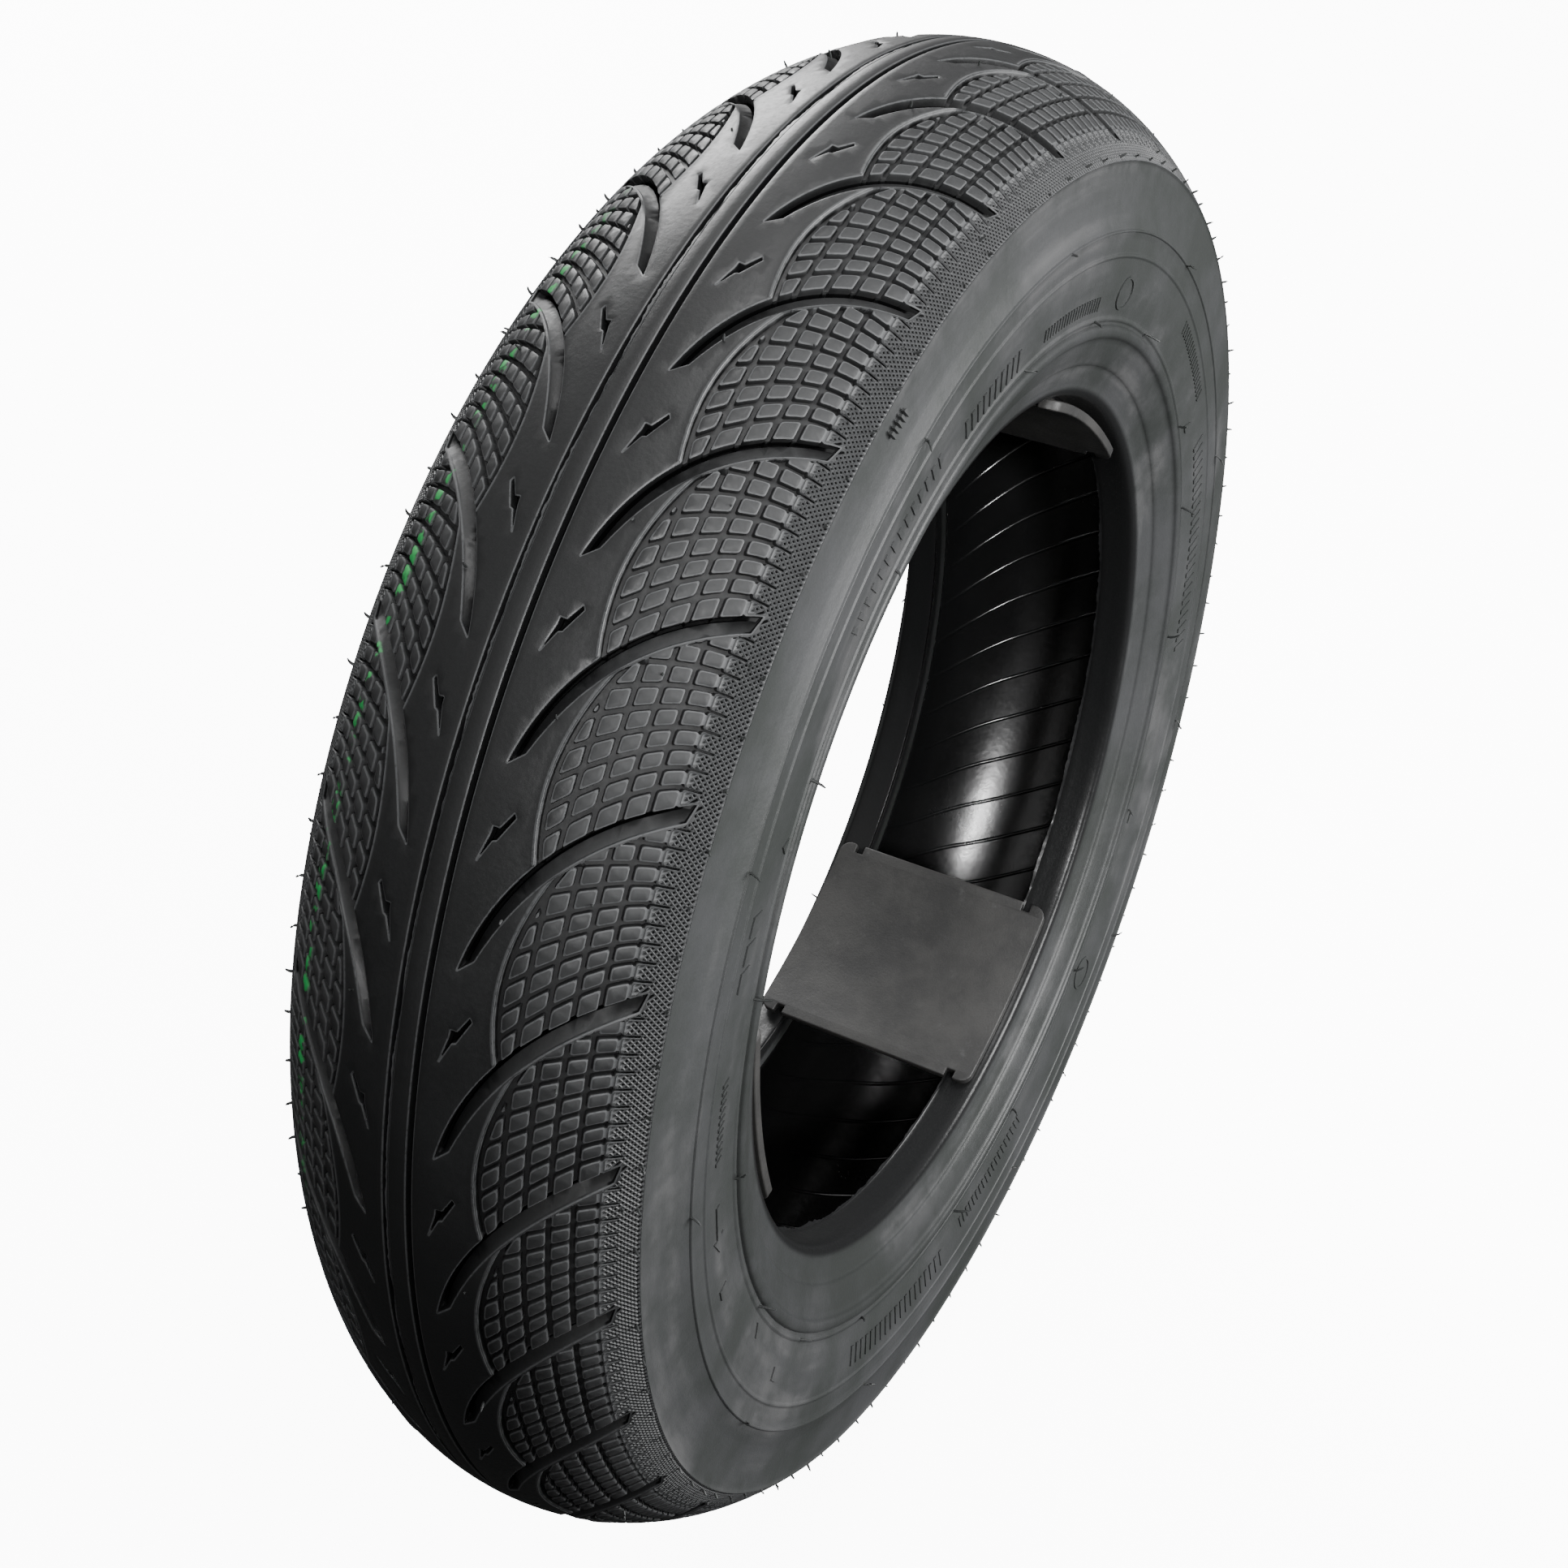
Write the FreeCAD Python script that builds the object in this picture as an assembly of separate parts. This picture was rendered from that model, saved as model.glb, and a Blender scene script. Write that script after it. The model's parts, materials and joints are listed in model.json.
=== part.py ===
import FreeCAD, Part
import math
import os

# Tubeless scooter tyre with three bead spacers between its beads. Millimetres.
# The spin axis is Y, +Z is up and the origin is the wheel centre. The tyre is a set of rings
# about Y. Each ring is a closed section in (y, r), where y is along the axis and r is the radius.

Vec = FreeCAD.Vector

# Overall size
TYRE_RADIUS = 217.0
RIM_SEAT_RADIUS = 126.6
TREAD_HALF_WIDTH = 48.5
SHOULDER_RADIUS = 193.5
SECTION_HALF_WIDTH = 50.7
SECTION_MID_RADIUS = 174.0

# Crown arc, through the crown centre and both shoulder edges
SHOULDER_DROP = TYRE_RADIUS - SHOULDER_RADIUS
CROWN_ARC = (TREAD_HALF_WIDTH ** 2 + SHOULDER_DROP ** 2) / (2 * SHOULDER_DROP)
CROWN_CENTRE = (0.0, TYRE_RADIUS - CROWN_ARC)

# Casing reference line: the outer face of the outer ply. Its angles are measured from +r to +y.
CASING_ARC = 52.5
CASING_SHOULDER_ANGLE = 45.0
SIDE_ARC = 36.0
PLY = 0.8
LINER = 1.0
LINER_END_ANGLE = -90

# Bead bundle
BUNDLE_CENTRE = (35.4, 133.0)
BUNDLE_RADIUS = 3.4
WIRE_RADIUS = 0.5
WIRE_PITCH = 1.25
WIRE_COLUMNS = 3
WIRE_ROWS = 4
TURN_UP_TILT = 16.0

# Rubber
UNDERTREAD = 1.2
UNDERTREAD_ANGLE = 43.0
CHAFER_TOP = (47.8, 149.0)
RIM_LINE_TOP = (48.9, 147.2)
RIM_LINE_FOOT = (47.2, 143.8)
BEAD_FACE_TOP = (42.6, 134.5)
HEEL_START = (40.9, 130.4)
HEEL_MIDDLE = (40.3, 127.7)
HEEL_END = (38.0, RIM_SEAT_RADIUS)
TOE = (29.9, 125.8)
CHAFER_TURN_UP_SHARE = 0.75

# Tread pattern. s is the distance from the crown centre along the crown arc, and u runs round.
PITCHES = 30
PITCH_ANGLE = 360.0 / PITCHES
NEAR_TIP_ANGLE = 10.2
FAR_TIP_ANGLE = 4.4
GROOVE_DEPTH = 4.5
CENTRE_RIB_HALF = 2.4
CENTRE_GROOVE_EDGE = 3.9
CENTRE_GROOVE_DEPTH = 3.5
GROOVE_UPPER = ((9.1, 0.0), (13.3, -20.5), (26.0, -39.0), (48.5, -47.5))
GROOVE_LOWER = ((12.2, -3.4), (15.5, -20.0), (28.0, -34.5), (48.5, -47.5))
GROOVE_MIDDLE_U = -24.0
GROOVE_BAND_ANGLE = 60.0

# Bead spacers
SPACER_ANGLES = (-67.5, 50.0, -176.0)
SPACER_LENGTH = 68.0
SPACER_WIDTH = 78.0
SPACER_THICKNESS = 3.0
SPACER_CORNER = 4.0
SPACER_ARC = 175.0
SPACER_REST_RADIUS = 125.4
LEG_OUTER_Y = 28.9
LEG_THICKNESS = 2.6
LEG_LENGTH = 54.0
LEG_HEIGHT = 8.5
NOTCH_Y = 31.9
NOTCH_WIDTH = 3.0
NOTCH_DEPTH = 3.0


def polar(centre, radius, angle):
    """The point at this radius and angle (degrees from +r towards +y) about a section point."""
    a = math.radians(angle)
    return (centre[0] + radius * math.sin(a), centre[1] + radius * math.cos(a))


def place(point):
    """A section point (y, r) as a vector in the half plane that is turned about Y."""
    return Vec(point[1], point[0], 0)


def line(a, b):
    return ("line", a, b)


def arc(centre, radius, start, end):
    """An arc about centre between two angles."""
    middle = (start + end) / 2
    return ("arc", polar(centre, radius, start), polar(centre, radius, middle),
            polar(centre, radius, end))


def arc_through(a, b, c):
    return ("arc", a, b, c)


def mirror(pieces):
    """The same pieces on the other side of the centre plane."""
    return [(piece[0],) + tuple((-p[0], p[1]) for p in piece[1:]) for piece in pieces]


def edge(piece):
    points = [place(p) for p in piece[1:]]
    if piece[0] == "line":
        return Part.makeLine(*points)
    return Part.Arc(*points).toShape()


def ring(pieces):
    """The solid ring made by turning a closed section about Y."""
    edges = Part.__sortEdges__([edge(piece) for piece in pieces])
    face = Part.Face(Part.Wire(edges))
    return face.revolve(Vec(0, 0, 0), Vec(0, 1, 0), 360)


# Centre of the side arc: it meets the crown arc of the casing without a kink
SIDE_CENTRE = polar(CROWN_CENTRE, CASING_ARC - SIDE_ARC, CASING_SHOULDER_ANGLE)


def lower_side_angle():
    """The angle at which the side arc runs off straight to the far side of the bead bundle."""
    dy = BUNDLE_CENTRE[0] - SIDE_CENTRE[0]
    dr = BUNDLE_CENTRE[1] - SIDE_CENTRE[1]
    towards_bundle = math.degrees(math.atan2(dy, dr))
    lean = math.degrees(math.acos((SIDE_ARC + BUNDLE_RADIUS) / math.hypot(dy, dr)))
    return towards_bundle - lean


LOWER_SIDE_ANGLE = lower_side_angle()
TURN_UP_ANGLE = 90 + TURN_UP_TILT


def turn_up_point(depth, length):
    """A point on the turned-up ply, at a depth outside the bundle line."""
    foot = polar(BUNDLE_CENTRE, BUNDLE_RADIUS + depth, TURN_UP_ANGLE)
    tilt = math.radians(TURN_UP_TILT)
    return (foot[0] + length * math.sin(tilt), foot[1] + length * math.cos(tilt))


def turn_up_length():
    """How far the turned-up ply runs before it meets the main casing line."""
    foot = turn_up_point(0, 0)
    tilt = math.radians(TURN_UP_TILT)
    dy = foot[0] - SIDE_CENTRE[0]
    dr = foot[1] - SIDE_CENTRE[1]
    along = dy * math.sin(tilt) + dr * math.cos(tilt)
    gap = dy * dy + dr * dr - SIDE_ARC ** 2
    return -along - math.sqrt(along * along - gap)


TURN_UP_LENGTH = turn_up_length()
FILLER_TIP = turn_up_point(0, TURN_UP_LENGTH)
FILLER_TIP_ANGLE = math.degrees(math.atan2(FILLER_TIP[0] - SIDE_CENTRE[0],
                                           FILLER_TIP[1] - SIDE_CENTRE[1]))


def casing_line(depth, bundle_end):
    """The casing line of one half at a depth towards the air chamber, down to the bundle."""
    side_foot = polar(SIDE_CENTRE, SIDE_ARC - depth, LOWER_SIDE_ANGLE)
    bundle_top = polar(BUNDLE_CENTRE, BUNDLE_RADIUS + depth, LOWER_SIDE_ANGLE - 180)
    return [
        arc(CROWN_CENTRE, CASING_ARC - depth, 0, CASING_SHOULDER_ANGLE),
        arc(SIDE_CENTRE, SIDE_ARC - depth, CASING_SHOULDER_ANGLE, LOWER_SIDE_ANGLE),
        line(side_foot, bundle_top),
        arc(BUNDLE_CENTRE, BUNDLE_RADIUS + depth, LOWER_SIDE_ANGLE - 180, bundle_end),
    ]


def ply(depth):
    """One casing ply from bead to bead, turned up round both bead bundles."""
    half = []
    for d in (depth, depth + PLY):
        half += casing_line(d, TURN_UP_ANGLE - 360)
        half.append(line(turn_up_point(d, 0), turn_up_point(d, TURN_UP_LENGTH)))
    half.append(line(turn_up_point(depth, TURN_UP_LENGTH),
                     turn_up_point(depth + PLY, TURN_UP_LENGTH)))
    return ring(half + mirror(half))


def inner_liner():
    """The airtight liner on the inside of the casing, down to both bead toes."""
    depth = 2 * PLY
    half = casing_line(depth, LINER_END_ANGLE) + casing_line(depth + LINER, LINER_END_ANGLE)
    half.append(line(polar(BUNDLE_CENTRE, BUNDLE_RADIUS + depth, LINER_END_ANGLE),
                     polar(BUNDLE_CENTRE, BUNDLE_RADIUS + depth + LINER, LINER_END_ANGLE)))
    return ring(half + mirror(half))


def undertread():
    """The base rubber between the casing and the tread cap."""
    inner = CASING_ARC
    outer = CASING_ARC + UNDERTREAD
    side = UNDERTREAD_ANGLE
    return ring([
        arc(CROWN_CENTRE, inner, -side, side),
        arc(CROWN_CENTRE, outer, -side, side),
        line(polar(CROWN_CENTRE, inner, side), polar(CROWN_CENTRE, outer, side)),
        line(polar(CROWN_CENTRE, inner, -side), polar(CROWN_CENTRE, outer, -side)),
    ])


SHOULDER_EDGE = (TREAD_HALF_WIDTH, SHOULDER_RADIUS)
CAP_CORNER = polar(CROWN_CENTRE, CASING_ARC, CASING_SHOULDER_ANGLE)


def crown_angle(s):
    """The crown arc's angle in degrees at a distance s from the crown centre."""
    return math.degrees(s / CROWN_ARC)


def cap_blank():
    """The tread cap with its centre rib and the narrow groove on each side of the rib."""
    shoulder_angle = math.degrees(math.asin(TREAD_HALF_WIDTH / CROWN_ARC))
    rib = crown_angle(CENTRE_RIB_HALF)
    groove = crown_angle(CENTRE_GROOVE_EDGE)
    floor = CROWN_ARC - CENTRE_GROOVE_DEPTH
    inner = CASING_ARC + UNDERTREAD
    half = [
        arc(CROWN_CENTRE, CROWN_ARC, 0, rib),
        line(polar(CROWN_CENTRE, CROWN_ARC, rib), polar(CROWN_CENTRE, floor, rib)),
        arc(CROWN_CENTRE, floor, rib, groove),
        line(polar(CROWN_CENTRE, floor, groove), polar(CROWN_CENTRE, CROWN_ARC, groove)),
        arc(CROWN_CENTRE, CROWN_ARC, groove, shoulder_angle),
        line(SHOULDER_EDGE, CAP_CORNER),
        arc(CROWN_CENTRE, CASING_ARC, CASING_SHOULDER_ANGLE, UNDERTREAD_ANGLE),
        line(polar(CROWN_CENTRE, CASING_ARC, UNDERTREAD_ANGLE),
             polar(CROWN_CENTRE, inner, UNDERTREAD_ANGLE)),
        arc(CROWN_CENTRE, inner, UNDERTREAD_ANGLE, 0),
    ]
    return ring(half + mirror(half))


def crown_point(s, u, side):
    """The point at s across and u round the tread, on the crown arc. side is -1 or 1."""
    y, r = polar(CROWN_CENTRE, CROWN_ARC, crown_angle(s))
    round_angle = u / TYRE_RADIUS
    return Vec(r * math.cos(round_angle), side * y, r * math.sin(round_angle))


def groove_outline(side):
    """The outline of one main groove, flat on a plane across the +X axis at the groove's middle."""
    def flat_point(s, u):
        point = crown_point(s, u - GROOVE_MIDDLE_U, side)
        return Vec(0, point.y, point.z)
    edges = []
    for poles in (GROOVE_UPPER, GROOVE_LOWER):
        curve = Part.BezierCurve()
        curve.setPoles([flat_point(s, u) for s, u in poles])
        edges.append(curve.toShape())
    edges.append(Part.makeLine(flat_point(*GROOVE_UPPER[0]), flat_point(*GROOVE_LOWER[0])))
    return Part.Wire(Part.__sortEdges__(edges))


def groove_cutter(side):
    """One curved main groove on one half of the tread, as the solid that cuts it."""
    outline = groove_outline(side)
    outline.translate(Vec(TYRE_RADIUS / 2, 0, 0))
    prism = Part.Face(outline).extrude(Vec(TYRE_RADIUS, 0, 0))
    floor = CROWN_ARC - GROOVE_DEPTH
    above = CROWN_ARC + GROOVE_DEPTH
    half = [
        arc(CROWN_CENTRE, floor, 0, GROOVE_BAND_ANGLE),
        line(polar(CROWN_CENTRE, floor, GROOVE_BAND_ANGLE),
             polar(CROWN_CENTRE, above, GROOVE_BAND_ANGLE)),
        arc(CROWN_CENTRE, above, GROOVE_BAND_ANGLE, 0),
    ]
    band = ring(half + mirror(half))
    cutter = prism.common(band)
    cutter.rotate(Vec(0, 0, 0), Vec(0, 1, 0), -math.degrees(GROOVE_MIDDLE_U / TYRE_RADIUS))
    return cutter


def tread_cap():
    """The tread cap with its mirrored, staggered rows of curved main grooves."""
    cutters = []
    for side, phase in ((-1, NEAR_TIP_ANGLE), (1, FAR_TIP_ANGLE)):
        cutter = groove_cutter(side)
        for i in range(PITCHES):
            turned = cutter.copy()
            turned.rotate(Vec(0, 0, 0), Vec(0, 1, 0), -(phase + i * PITCH_ANGLE))
            cutters.append(turned)
    return cap_blank().cut(cutters)


def plies_end():
    """The outer corner of the turned-up plies, level with the filler tip."""
    return turn_up_point(2 * PLY, TURN_UP_LENGTH)


CHAFER_MEETS_PLY = turn_up_point(2 * PLY, CHAFER_TURN_UP_SHARE * TURN_UP_LENGTH)


def sidewall():
    """The sidewall rubber from the shoulder edge down to the chafer."""
    section_middle = (SECTION_HALF_WIDTH, SECTION_MID_RADIUS)
    return ring([
        arc_through(SHOULDER_EDGE, section_middle, CHAFER_TOP),
        line(CHAFER_TOP, CHAFER_MEETS_PLY),
        line(CHAFER_MEETS_PLY, plies_end()),
        line(plies_end(), FILLER_TIP),
        arc(SIDE_CENTRE, SIDE_ARC, FILLER_TIP_ANGLE, CASING_SHOULDER_ANGLE),
        line(CAP_CORNER, SHOULDER_EDGE),
    ])


def chafer():
    """The rim cushion: rim line, bead face, heel, seat and toe, round the turned-up plies."""
    depth = 2 * PLY
    wrap = BUNDLE_RADIUS + depth
    toe_side = polar(BUNDLE_CENTRE, wrap + LINER, LINER_END_ANGLE)
    return ring([
        line(CHAFER_TOP, RIM_LINE_TOP),
        line(RIM_LINE_TOP, RIM_LINE_FOOT),
        line(RIM_LINE_FOOT, BEAD_FACE_TOP),
        line(BEAD_FACE_TOP, HEEL_START),
        arc_through(HEEL_START, HEEL_MIDDLE, HEEL_END),
        line(HEEL_END, TOE),
        line(TOE, toe_side),
        line(toe_side, polar(BUNDLE_CENTRE, wrap, LINER_END_ANGLE)),
        arc(BUNDLE_CENTRE, wrap, LINER_END_ANGLE, TURN_UP_ANGLE - 360),
        line(turn_up_point(depth, 0), CHAFER_MEETS_PLY),
        line(CHAFER_MEETS_PLY, CHAFER_TOP),
    ])


def bead_filler():
    """The hard rubber wedge between the casing and its turn-up, on top of the bundle."""
    side_foot = polar(SIDE_CENTRE, SIDE_ARC, LOWER_SIDE_ANGLE)
    bundle_top = polar(BUNDLE_CENTRE, BUNDLE_RADIUS, LOWER_SIDE_ANGLE - 180)
    return ring([
        line(side_foot, bundle_top),
        arc(BUNDLE_CENTRE, BUNDLE_RADIUS, LOWER_SIDE_ANGLE - 180, TURN_UP_ANGLE),
        line(turn_up_point(0, 0), FILLER_TIP),
        arc(SIDE_CENTRE, SIDE_ARC, FILLER_TIP_ANGLE, LOWER_SIDE_ANGLE),
    ])


def wire_centres():
    """The wires of one bead, in a bundle three wide and four high."""
    y, r = BUNDLE_CENTRE
    return [(y + (column - (WIRE_COLUMNS - 1) / 2) * WIRE_PITCH,
             r + (row - (WIRE_ROWS - 1) / 2) * WIRE_PITCH)
            for row in range(WIRE_ROWS)
            for column in range(WIRE_COLUMNS)]


def hoop(centre, radius):
    """A ring with a round section."""
    body = Part.makeTorus(centre[1], radius, Vec(0, 0, 0), Vec(0, 1, 0))
    body.translate(Vec(0, centre[0], 0))
    return body


def bead_wires():
    """The steel wire hoops of one bead, as separate solids."""
    return Part.makeCompound([hoop(centre, WIRE_RADIUS) for centre in wire_centres()])


def bead_wrap():
    """The rubber insulation and wrap round the wires of one bead."""
    wires = [hoop(centre, WIRE_RADIUS) for centre in wire_centres()]
    return hoop(BUNDLE_CENTRE, BUNDLE_RADIUS).cut(wires)


# The spacer's plate is a shallow arch: its ends rest under the beads and its middle stands clear
SPACER_END_X = math.sqrt(SPACER_REST_RADIUS ** 2 - (SPACER_LENGTH / 2) ** 2)
SPACER_ARC_X = SPACER_END_X - math.sqrt(SPACER_ARC ** 2 - (SPACER_LENGTH / 2) ** 2)
SPACER_CROWN_X = SPACER_ARC_X + SPACER_ARC
SPACER_FOOT_X = SPACER_END_X - 2 * SPACER_THICKNESS


def spacer_cylinder(radius):
    """A cylinder across the tyre, about the axis that the arched plate bends round."""
    return Part.makeCylinder(radius, SPACER_WIDTH, Vec(SPACER_ARC_X, -SPACER_WIDTH / 2, 0),
                             Vec(0, 1, 0))


def centred_block(start_x, end_x, y, width, z, length):
    """A box between two places along X, centred on y and z."""
    return Part.makeBox(end_x - start_x, width, length,
                        Vec(start_x, y - width / 2, z - length / 2))


def spacer_blank():
    """The spacer's outline as a thick block with rounded corners."""
    block = centred_block(SPACER_FOOT_X, SPACER_CROWN_X, 0, SPACER_WIDTH, 0, SPACER_LENGTH)
    corners = [e for e in block.Edges
               if abs(e.Vertexes[0].Point.x - e.Vertexes[1].Point.x) > SPACER_THICKNESS]
    return block.makeFillet(SPACER_CORNER, corners)


def spacer():
    """One bead spacer across the beads at the +X side: a plate with two legs and four notches."""
    body = spacer_blank().common(spacer_cylinder(SPACER_ARC))
    for side in (-1, 1):
        leg_y = side * (LEG_OUTER_Y - LEG_THICKNESS / 2)
        body = body.fuse(centred_block(SPACER_FOOT_X, SPACER_CROWN_X + LEG_HEIGHT, leg_y,
                                       LEG_THICKNESS, 0, LEG_LENGTH))
    body = body.cut(spacer_cylinder(SPACER_ARC - SPACER_THICKNESS))
    for side in (-1, 1):
        for end in (-1, 1):
            body = body.cut(centred_block(SPACER_FOOT_X, SPACER_CROWN_X, side * NOTCH_Y,
                                          NOTCH_WIDTH, end * SPACER_LENGTH / 2,
                                          2 * NOTCH_DEPTH))
    return body.removeSplitter()


def mirrored(shape):
    """The same shape on the other side of the centre plane."""
    return shape.mirror(Vec(0, 0, 0), Vec(0, 1, 0))


def build_parts():
    """All nodes by name. Left is +Y and right is -Y."""
    parts = {
        "tread_cap": tread_cap(),
        "undertread": undertread(),
        "carcass_ply_outer": ply(0),
        "carcass_ply_inner": ply(PLY),
        "inner_liner": inner_liner(),
    }
    pairs = (("sidewall", sidewall), ("chafer", chafer), ("bead_filler", bead_filler),
             ("bead_wrap", bead_wrap), ("bead_wires", bead_wires))
    for name, make in pairs:
        shape = make()
        parts[name + "_left"] = shape
        parts[name + "_right"] = mirrored(shape)
    for number, angle in enumerate(SPACER_ANGLES, start=1):
        shape = spacer()
        shape.rotate(Vec(0, 0, 0), Vec(0, 1, 0), -angle)
        parts["bead_spacer_" + str(number)] = shape
    return parts


def main():
    os.makedirs("parts", exist_ok=True)
    for name, shape in build_parts().items():
        shape.exportStep(os.path.join("parts", name + ".step"))
        print(name, "valid", shape.isValid(), "solids", len(shape.Solids),
              "volume", round(shape.Volume, 1))


main()
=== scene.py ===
import json
import math
import random

import bpy
import numpy as np
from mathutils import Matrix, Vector
from mathutils.geometry import delaunay_2d_cdt


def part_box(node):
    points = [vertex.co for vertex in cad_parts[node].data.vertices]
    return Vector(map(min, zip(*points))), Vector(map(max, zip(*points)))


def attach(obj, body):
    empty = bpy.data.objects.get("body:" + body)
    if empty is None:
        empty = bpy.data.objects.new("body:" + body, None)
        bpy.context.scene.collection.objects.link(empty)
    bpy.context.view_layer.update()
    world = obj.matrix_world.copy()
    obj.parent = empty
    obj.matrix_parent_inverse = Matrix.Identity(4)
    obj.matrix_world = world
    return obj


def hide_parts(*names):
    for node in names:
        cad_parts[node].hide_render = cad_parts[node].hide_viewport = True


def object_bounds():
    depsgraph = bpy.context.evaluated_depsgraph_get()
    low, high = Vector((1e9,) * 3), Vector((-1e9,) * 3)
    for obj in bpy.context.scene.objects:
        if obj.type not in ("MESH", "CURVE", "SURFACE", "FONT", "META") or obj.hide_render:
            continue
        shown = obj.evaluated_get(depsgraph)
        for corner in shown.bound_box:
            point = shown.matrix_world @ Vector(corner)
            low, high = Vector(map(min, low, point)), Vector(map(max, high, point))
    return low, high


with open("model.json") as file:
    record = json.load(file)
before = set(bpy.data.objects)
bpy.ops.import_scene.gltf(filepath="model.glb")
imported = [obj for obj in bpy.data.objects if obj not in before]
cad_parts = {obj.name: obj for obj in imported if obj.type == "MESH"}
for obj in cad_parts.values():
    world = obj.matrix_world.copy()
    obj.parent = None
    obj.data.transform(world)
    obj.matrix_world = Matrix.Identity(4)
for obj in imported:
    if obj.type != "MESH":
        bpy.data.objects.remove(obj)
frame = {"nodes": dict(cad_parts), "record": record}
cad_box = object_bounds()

# A tubeless scooter tyre with bead spacers. Shapes are worked out in millimetres and written to
# meshes in metres. A ring section is in (y, r): y along the spin axis, r the radius.

MM = 0.001
SIDES = {"right": -1, "left": 1}
PIECES = []


def box_mm(node):
    """The lowest and highest corners of a node in millimetres."""
    low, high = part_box(node)
    return np.array(low) / MM, np.array(high) / MM


# ------ sizes taken from the frame

CAP_HIGH = box_mm("tread_cap")[1]
SIDEWALL_HIGH = box_mm("sidewall_left")[1]

TYRE_RADIUS = CAP_HIGH[0]
TREAD_HALF_WIDTH = CAP_HIGH[1]
SHOULDER_RADIUS = 193.5
SECTION_HALF_WIDTH = SIDEWALL_HIGH[1]
SECTION_MID_RADIUS = 174.0
CHAFER_TOP_RADIUS = 149.0
CHAFER_TOP_Y = 47.8

SHOULDER_DROP = TYRE_RADIUS - SHOULDER_RADIUS
CROWN_ARC = (TREAD_HALF_WIDTH ** 2 + SHOULDER_DROP ** 2) / (2 * SHOULDER_DROP)
CROWN_CENTRE_R = TYRE_RADIUS - CROWN_ARC
TREAD_SPAN = CROWN_ARC * math.asin(TREAD_HALF_WIDTH / CROWN_ARC)

# Casing line, as in the design: a crown arc, a side arc, a straight run and the bead bundle
CASING_ARC = 52.5
SIDE_ARC = 36.0
SIDE_START = 45.0
BUNDLE = (35.4, 133.0)
BUNDLE_RADIUS = 3.4
LINER_DEPTH = 2.6

# ------ tread pattern sizes

PITCHES = 30
PITCH = 2 * math.pi * TYRE_RADIUS / PITCHES
TILES_PER_PIECE = 10
PHASE = {"right": 10.2, "left": 4.4}
TILE_START = 6.0

GROOVE_UPPER = ((9.1, 0.0), (13.3, -20.5), (26.0, -39.0), (50.0, -48.3))
CUT_LOWER = ((10.1, -0.9), (14.3, -20.0), (26.6, -38.0), (49.7, -47.3))
RAMP_EDGE = ((12.4, -3.0), (18.0, -18.0), (27.0, -33.0), (48.7, -43.6))
MAIN_DEPTH = 4.5
RAMP_LOW = 2.2
RAMP_HIGH = 0.6
CUT_WALL = 0.35

RIB_EDGE = 2.4
CENTRE_GROOVE_EDGE = 3.9
CENTRE_DEPTH = 3.5

# The inner edge of a leaf of blocks: where it comes nearest the centre, and how it flares away
LEAF_NEAREST_S = 19.5
LEAF_NEAREST_U = 2.5
LEAF_START = -30.1
LEAF_END = 18.5
LEAF_FLARE_START = 8.7
LEAF_FLARE_END = 1.9
LEAF_GAP = 0.9
LEAF_OVERRUN = 1.2
RIM_START = -31.0
LIP_END = 19.0
FAR = 50.0

SIPE = ((8.2, 21.4), (10.5, 16.4), (11.4, 16.1), (14.3, 10.5), (13.8, 9.6), (11.5, 13.5),
        (10.0, 13.4), (9.9, 15.0))
SIPE_DEPTH = 3.0

ROWS = 9
ROW_STEP = 4.545
ROW_FAN = 1.45
ROW_SWEEP = 15.5
ROW_EDGE = 46.0
ROW_REACH = 21.5
ROW_CURVE = 1.5
TICK_END = 50.0
COLUMNS = (24.5, 29.8, 35.1, 40.4)
LAST_COLUMN = 45.7
BLOCK_GROOVE = 1.3
TICK_GROOVE = 0.5
TICK_CRISPNESS = 2.5
BLOCK_DEPTH = 1.7
BLOCK_ROUNDING = 0.7
LIP_HEIGHT = 0.22
LIP_EDGE = 1.3

KNURL_START = 46.4
KNURL_ACROSS = 12
KNURL_ROUND = 60
KNURL_DEPTH = 0.55

# Signed distance from a land edge, and how far below the tread surface the mesh lies there
CHAMFER_TOP = 0.42
CHAMFER_DROP = 0.22
FLOOR_EDGE = -0.2
LEVELS = (CHAMFER_TOP, 0.0, FLOOR_EDGE)
SNAP = 0.06

SAMPLES_ROUND = 201
SAMPLES_ACROSS = 241
LINE_TOLERANCE = 0.025
LONGEST_EDGE = 2.9

# Depth of the closed underside of the tread pieces below the crown arc
UNDERSIDE = CROWN_ARC - 53.7


# ------ mesh helpers

def register(piece, body, slot, replaced):
    """Put a piece in the scene, with its body, its slot and the nodes it stands for."""
    bpy.context.scene.collection.objects.link(piece)
    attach(piece, body)
    for node in replaced:
        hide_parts(node)
    PIECES.append((piece, slot))


def add_piece(name, points, faces, slot, replaced=(), sharp=40):
    """A smooth-shaded mesh piece of the tyre, from points in millimetres."""
    mesh = bpy.data.meshes.new(name)
    mesh.from_pydata((np.asarray(points) * MM).tolist(), [], [list(map(int, f)) for f in faces])
    mesh.validate()
    mesh.shade_smooth()
    mesh.set_sharp_from_angle(angle=math.radians(sharp))
    register(bpy.data.objects.new(name, mesh), "tyre", slot, replaced)


def turned(y, r, angle):
    """Points at this place on the section, turned by an angle in radians about the axis."""
    return np.stack([r * np.cos(angle), y + 0 * angle, r * np.sin(angle)], -1)


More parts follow.
